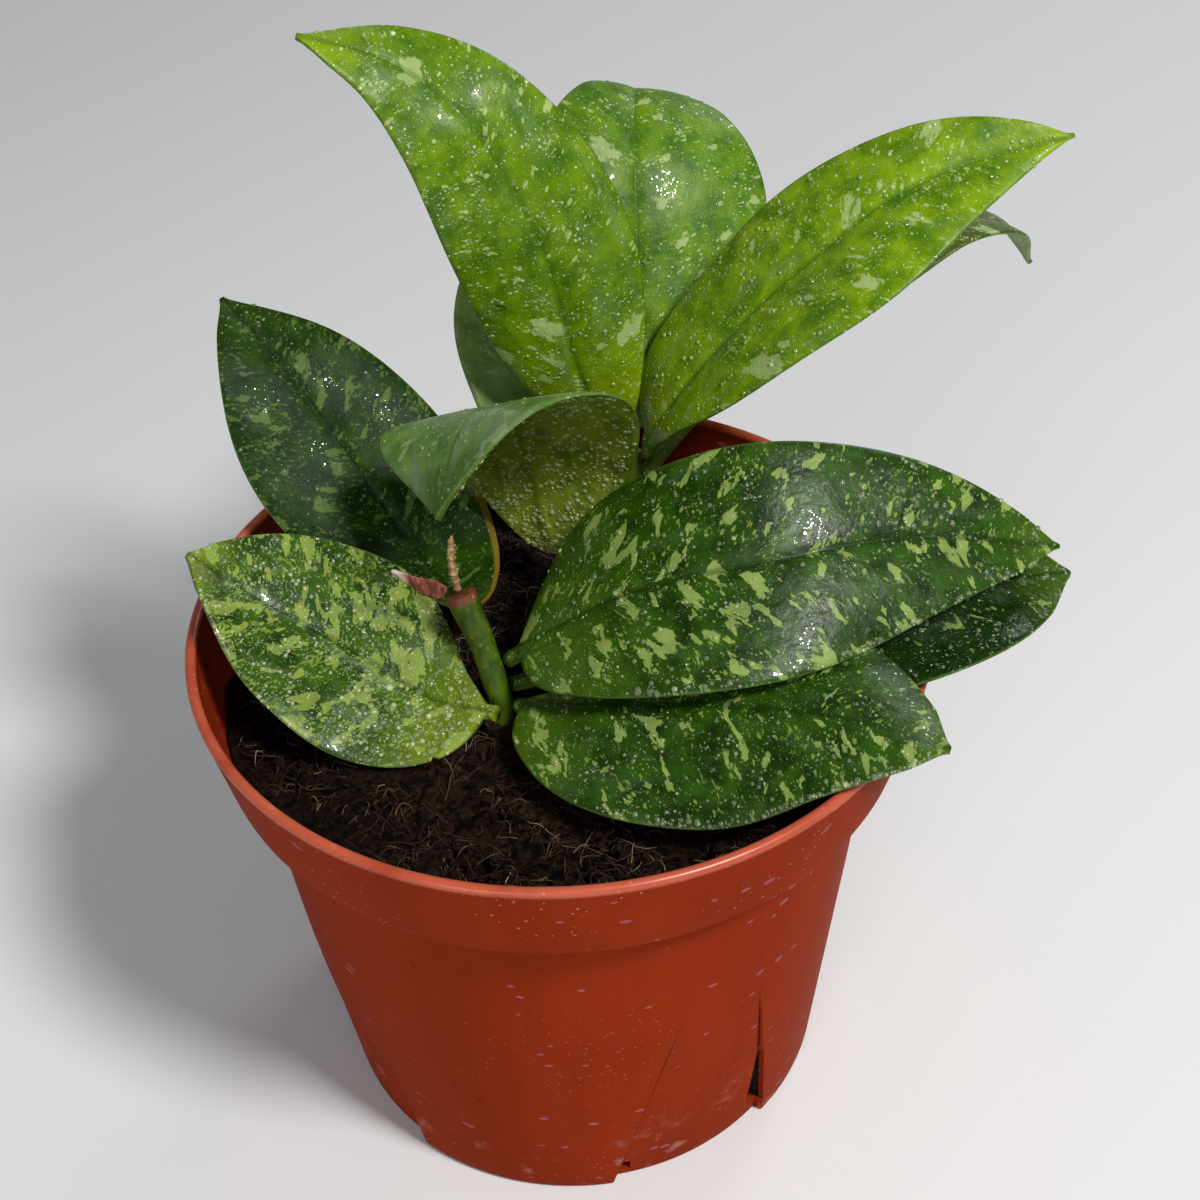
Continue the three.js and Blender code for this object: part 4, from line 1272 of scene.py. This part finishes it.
def leaf_skin(name, seed, dark, light, splash_colour, fleck_colour, bloom_and_sheen_colour, edge, ends_colour,
              splash, blotch, fleck, bloom_and_sheen, ends, rough, spray, painted_glint, gloss=0.2, strip=None):
    """Skin of one side of a leaf: its marks laid one over the other, and fine water over them with painted
    sheen and painted glints
    """
    material, bench, shader = new_material(name)
    share = bench.put("ShaderNodeUVMap", settings={"uv_map": "share"})
    spread = bench.put("ShaderNodeUVMap", settings={"uv_map": "spread"})
    marks = bench.group(BLADE_PATTERN, Spread=spread, Share=share, Seed=float(seed),
                        Splash=splash, Blotch=blotch, Fleck=fleck)
    colour = bench.mix(bench.step(marks["Mottle"], 0.3, 0.7), dark, light)
    tone = bench.plus(bench.times(marks["Mottle"], 0.9), 0.35, clamp=True)
    # The pale grey-green patch layer is partly waxy film and partly painted sheen; the other layers are the
    # leaf's own marks
    for mark, over, amount in (("Ends", ends_colour, ends), ("Fleck", fleck_colour, 0.7),
                               ("Splash", splash_colour, tone), ("BloomAndSheen", bloom_and_sheen_colour, bloom_and_sheen),
                               ("Midrib", dark, 0.5), ("Margin", edge, 0.7)):
        colour = bench.lay(colour, over, marks[mark], amount)
    if strip is not None:
        colour = strip(bench, share, colour)
    drops = bench.group(SPRAY, Vector=spread, Scale=DROP_SCALE, Amount=spray)
    mist = bench.group(SPRAY, Vector=spread, Scale=MIST_SCALE, Amount=spray)
    bead = bench.measure("wet")
    wet = bench.larger(bench.larger(drops["Mask"], mist["Mask"]), bead)
    # Painted highlight: every drop and bead is lightened towards a pale tint
    colour = bench.lay(colour, PAINTED_DROP_SHEEN, wet, 0.14)
    # Painted highlight: near-white glints at the middles of the drops, as strong as the leaf's share says
    colour = bench.lay(colour, PAINTED_GLINT_COLOUR, bench.larger(drops["Core"], mist["Core"]), painted_glint)
    dull = bench.plus(bench.times(marks["BloomAndSheen"], 0.12), rough)
    roughness = bench.put("ShaderNodeMix", i0=wet, i2=dull, i3=0.08)
    pores = bench.noise(spread, 160.0, 4.0)
    skin = bench.bump(bench.plus(marks["Relief"], bench.times(pores, 0.25)), 0.3, 0.0006)
    relief = bench.plus(bench.times(mist["Relief"], 0.4), drops["Relief"])
    relief = bench.times(relief, bench.minus(1.0, bead))
    normal = bench.put("ShaderNodeBump", Height=relief, Strength=0.5, Distance=0.0012, Normal=skin)
    dress(bench, shader, Base_Color=colour, Roughness=roughness, Normal=normal, Coat_Weight=wet,
          Coat_Roughness=0.05, Specular_IOR_Level=gloss)
    return material


def yellow_edge(bench, share, colour):
    """The rolled yellow margin at the foot of the left upright leaf"""
    along, across, _ = bench.split(share)
    band = bench.times(bench.step(across, 0.94, 0.96), bench.step(along, 0.42, 0.2))
    return bench.lay(colour, YELLOW, band, 0.85)


# Each leaf's table also sets how strong the painted glints in its drops are
YOUNG_SKIN = dict(dark=srgb(66, 108, 0), light=srgb(112, 148, 4), splash_colour=srgb(160, 180, 112),
                  fleck_colour=srgb(166, 188, 108), bloom_and_sheen_colour=srgb(98, 130, 70), edge=srgb(62, 94, 22),
                  ends_colour=srgb(146, 170, 4), splash=0.33, blotch=0.6, fleck=0.6, bloom_and_sheen=0.45, ends=0.6,
                  rough=0.36, spray=0.9, painted_glint=0.55)
MATURE_SKIN = dict(dark=srgb(14, 38, 0), light=srgb(44, 80, 6), splash_colour=srgb(138, 160, 82),
                   fleck_colour=srgb(112, 138, 58), bloom_and_sheen_colour=srgb(60, 88, 50), edge=srgb(76, 102, 44),
                   ends_colour=srgb(82, 116, 14), splash=0.42, blotch=0.22, fleck=0.5, bloom_and_sheen=0.35, ends=0.5,
                   rough=0.34, spray=0.8, painted_glint=0.25)
SKIN_CHANGES = {
    "upper_left": dict(dark=srgb(54, 94, 0), light=srgb(104, 138, 4)),
    "top_centre": dict(dark=srgb(54, 96, 0), light=srgb(98, 136, 2), rough=0.42),
    "upper_right": dict(light=srgb(124, 156, 6), blotch=0.7),
    "back_right": dict(dark=srgb(52, 70, 14), light=srgb(84, 98, 26), ends_colour=srgb(120, 140, 40)),
    "back_left": dict(dark=srgb(94, 118, 62), light=srgb(122, 150, 82), splash=0.4, blotch=0.2, spray=0.4,
                      splash_colour=srgb(140, 160, 112), fleck_colour=srgb(136, 156, 110), bloom_and_sheen=0.7,
                      bloom_and_sheen_colour=srgb(128, 148, 112)),
    "left_upright": dict(dark=srgb(10, 32, 0), light=srgb(32, 62, 0), splash=0.43, blotch=0.35, fleck=0.645,
                         splash_colour=srgb(84, 108, 46), fleck_colour=srgb(80, 108, 46), bloom_and_sheen=0.2,
                         ends=0.1, rough=0.45, spray=0.5, gloss=0.1, strip=yellow_edge),
    "lower_left": dict(dark=srgb(20, 50, 2), light=srgb(58, 94, 10), splash=0.47, blotch=0.4, fleck=0.66,
                       splash_colour=srgb(140, 160, 70), fleck_colour=srgb(128, 150, 60), bloom_and_sheen=0.7,
                       bloom_and_sheen_colour=srgb(86, 108, 78), ends_colour=srgb(134, 152, 24), ends=0.6,
                       spray=1.2, painted_glint=0.5, rough=0.3),
    "curled_middle": dict(dark=srgb(74, 112, 42), light=srgb(112, 148, 68), splash=0.4, bloom_and_sheen=0.9,
                          bloom_and_sheen_colour=srgb(124, 146, 106), splash_colour=srgb(146, 164, 110)),
    "right_top": dict(splash=0.43, blotch=0.3, fleck=0.6, fleck_colour=srgb(124, 150, 60)),
    "right_lower": dict(fleck=0.6, fleck_colour=srgb(120, 146, 56)),
    "right_under": dict(dark=srgb(10, 30, 0), light=srgb(22, 50, 8), splash=0.37, rough=0.16),
}
YOUNG = ("upper_left", "top_centre", "upper_right", "back_right")
UNDERSIDE = {
    "young": dict(dark=srgb(92, 128, 34), light=srgb(122, 152, 54), splash_colour=srgb(150, 174, 92),
                  fleck_colour=srgb(156, 178, 96), bloom_and_sheen_colour=srgb(130, 152, 92), edge=srgb(120, 140, 60),
                  ends_colour=srgb(134, 158, 40), splash=0.2, blotch=0.2, fleck=0.2, bloom_and_sheen=0.4, ends=0.4,
                  rough=0.42, spray=0.3, painted_glint=0.2),
    "mature": dict(dark=srgb(74, 90, 14), light=srgb(114, 130, 34), splash_colour=srgb(134, 150, 66),
                   fleck_colour=srgb(134, 150, 72), bloom_and_sheen_colour=srgb(118, 134, 66), edge=srgb(70, 86, 30),
                   ends_colour=srgb(120, 132, 40), splash=0.2, blotch=0.1, fleck=0.15, bloom_and_sheen=0.4, ends=0.3,
                   rough=0.4, spray=0.3, painted_glint=0.2)}


def dress_leaf(name):
    """Upper and lower skin of a leaf, and a label for its age, young_leaf or mature_leaf"""
    age = "young" if name in YOUNG else "mature"
    values = dict(YOUNG_SKIN if age == "young" else MATURE_SKIN, **SKIN_CHANGES[name])
    seed = LEAVES[name].seed
    skins = [leaf_skin("skin_" + name, seed, **values),
             leaf_skin("underside_" + name, seed + 0.5, **UNDERSIDE[age])]
    return skins, age + "_leaf"


print(len(SKIN_CHANGES), "leaves with colours of their own")

# %% [markdown]
# The plant has just been sprayed. Water beads stand on the leaves as low round caps, most of
# them under a millimetre. Each bead is a small flattened ball sunk halfway into the skin, with
# few faces because there are thousands of them, and smooth shading makes it look round. Clear
# water on so thin a bead shows the leaf's own colour, so a bead takes the skin's pattern at its
# place with a glossy finish, lightened a little by painted sheen. Glass would turn each bead into
# a dark dot at this size.

# %% Water beads
ALL_ALONG, ALL_ACROSS, RIGHT_MARGIN = (0.08, 0.97), (-0.97, 0.97), (0.93, 0.985)
# Leaf, number of beads, least and largest size, and where they lie along and across the leaf
BEADS = [("upper_left", 240, (0.15, 0.5), ALL_ALONG, ALL_ACROSS),
         ("top_centre", 160, (0.15, 0.45), ALL_ALONG, ALL_ACROSS),
         ("upper_right", 240, (0.15, 0.5), ALL_ALONG, ALL_ACROSS),
         ("back_right", 30, (0.2, 0.4), ALL_ALONG, ALL_ACROSS),
         ("back_left", 40, (0.2, 0.4), ALL_ALONG, ALL_ACROSS),
         ("left_upright", 120, (0.2, 0.45), ALL_ALONG, ALL_ACROSS),
         ("curled_middle", 90, (0.2, 0.4), ALL_ALONG, ALL_ACROSS),
         ("lower_left", 220, (0.2, 0.6), ALL_ALONG, ALL_ACROSS),
         ("lower_left", 170, (0.3, 0.75), (0.1, 0.42), (-0.85, 0.0)),
         ("right_top", 320, (0.2, 0.55), ALL_ALONG, ALL_ACROSS),
         ("right_top", 90, (0.3, 0.6), (0.25, 0.95), RIGHT_MARGIN),
         ("right_top", 60, (0.3, 0.65), (0.62, 0.8), (-0.6, -0.1)),
         ("right_lower", 200, (0.2, 0.5), ALL_ALONG, ALL_ACROSS),
         ("right_lower", 80, (0.3, 0.6), (0.3, 0.97), RIGHT_MARGIN),
         ("right_under", 120, (0.2, 0.6), (0.3, 0.97), ALL_ACROSS)]
UNDERSIDE_BEADS = [("curled_middle", 1700, (0.22, 0.6), ALL_ALONG, ALL_ACROSS)]
BEAD_WIDTHS, BEAD_HEIGHTS, SMALLER_OFTEN = (0.85, 1.0), (0.45, 0.65), 2.2
BEAD_THINNING = 1


def add_bead(whole, leaf, sizes, along, across, above):
    """A low round cap on one side of a leaf, with the leaf's own measures at its place"""
    u, v = draw.uniform(*along), draw.uniform(*across)
    size = blend(*sizes, draw.random() ** SMALLER_OFTEN)
    place, way = leaf.surface(u, v, above)
    turn = way.to_track_quat("Z", "Y").to_matrix().to_4x4()
    width, height = size * draw.uniform(*BEAD_WIDTHS), size * draw.uniform(*BEAD_HEIGHTS)
    matrix = Matrix.Translation(place) @ turn @ Matrix.Diagonal((size, width, height, 1))
    bm = bmesh.new()
    bmesh.ops.create_uvsphere(bm, u_segments=8, v_segments=5, radius=1, matrix=matrix)
    for face in bm.faces:
        face.material_index = 0 if above else 1
    mark_leaf(bm, leaf, lambda vertex: (u, v), 1.0)
    gather(whole, bm)


def add_beads(bm, leaf, plan, above):
    """Scatters every batch of the plan that is meant for this leaf"""
    for name, count, sizes, along, across in plan:
        if name == leaf.name:
            for k in range(count // BEAD_THINNING):
                add_bead(bm, leaf, sizes, along, across, above)


for name, leaf in LEAVES.items():
    skins, slot = dress_leaf(name)
    blade = leaf_bmesh(leaf)
    add_beads(blade, leaf, BEADS, True)
    add_beads(blade, leaf, UNDERSIDE_BEADS, False)
    keep_inside(blade, "leaf_" + name)
    finish_piece("blade_" + name, blade, skins, ["leaf_" + name])
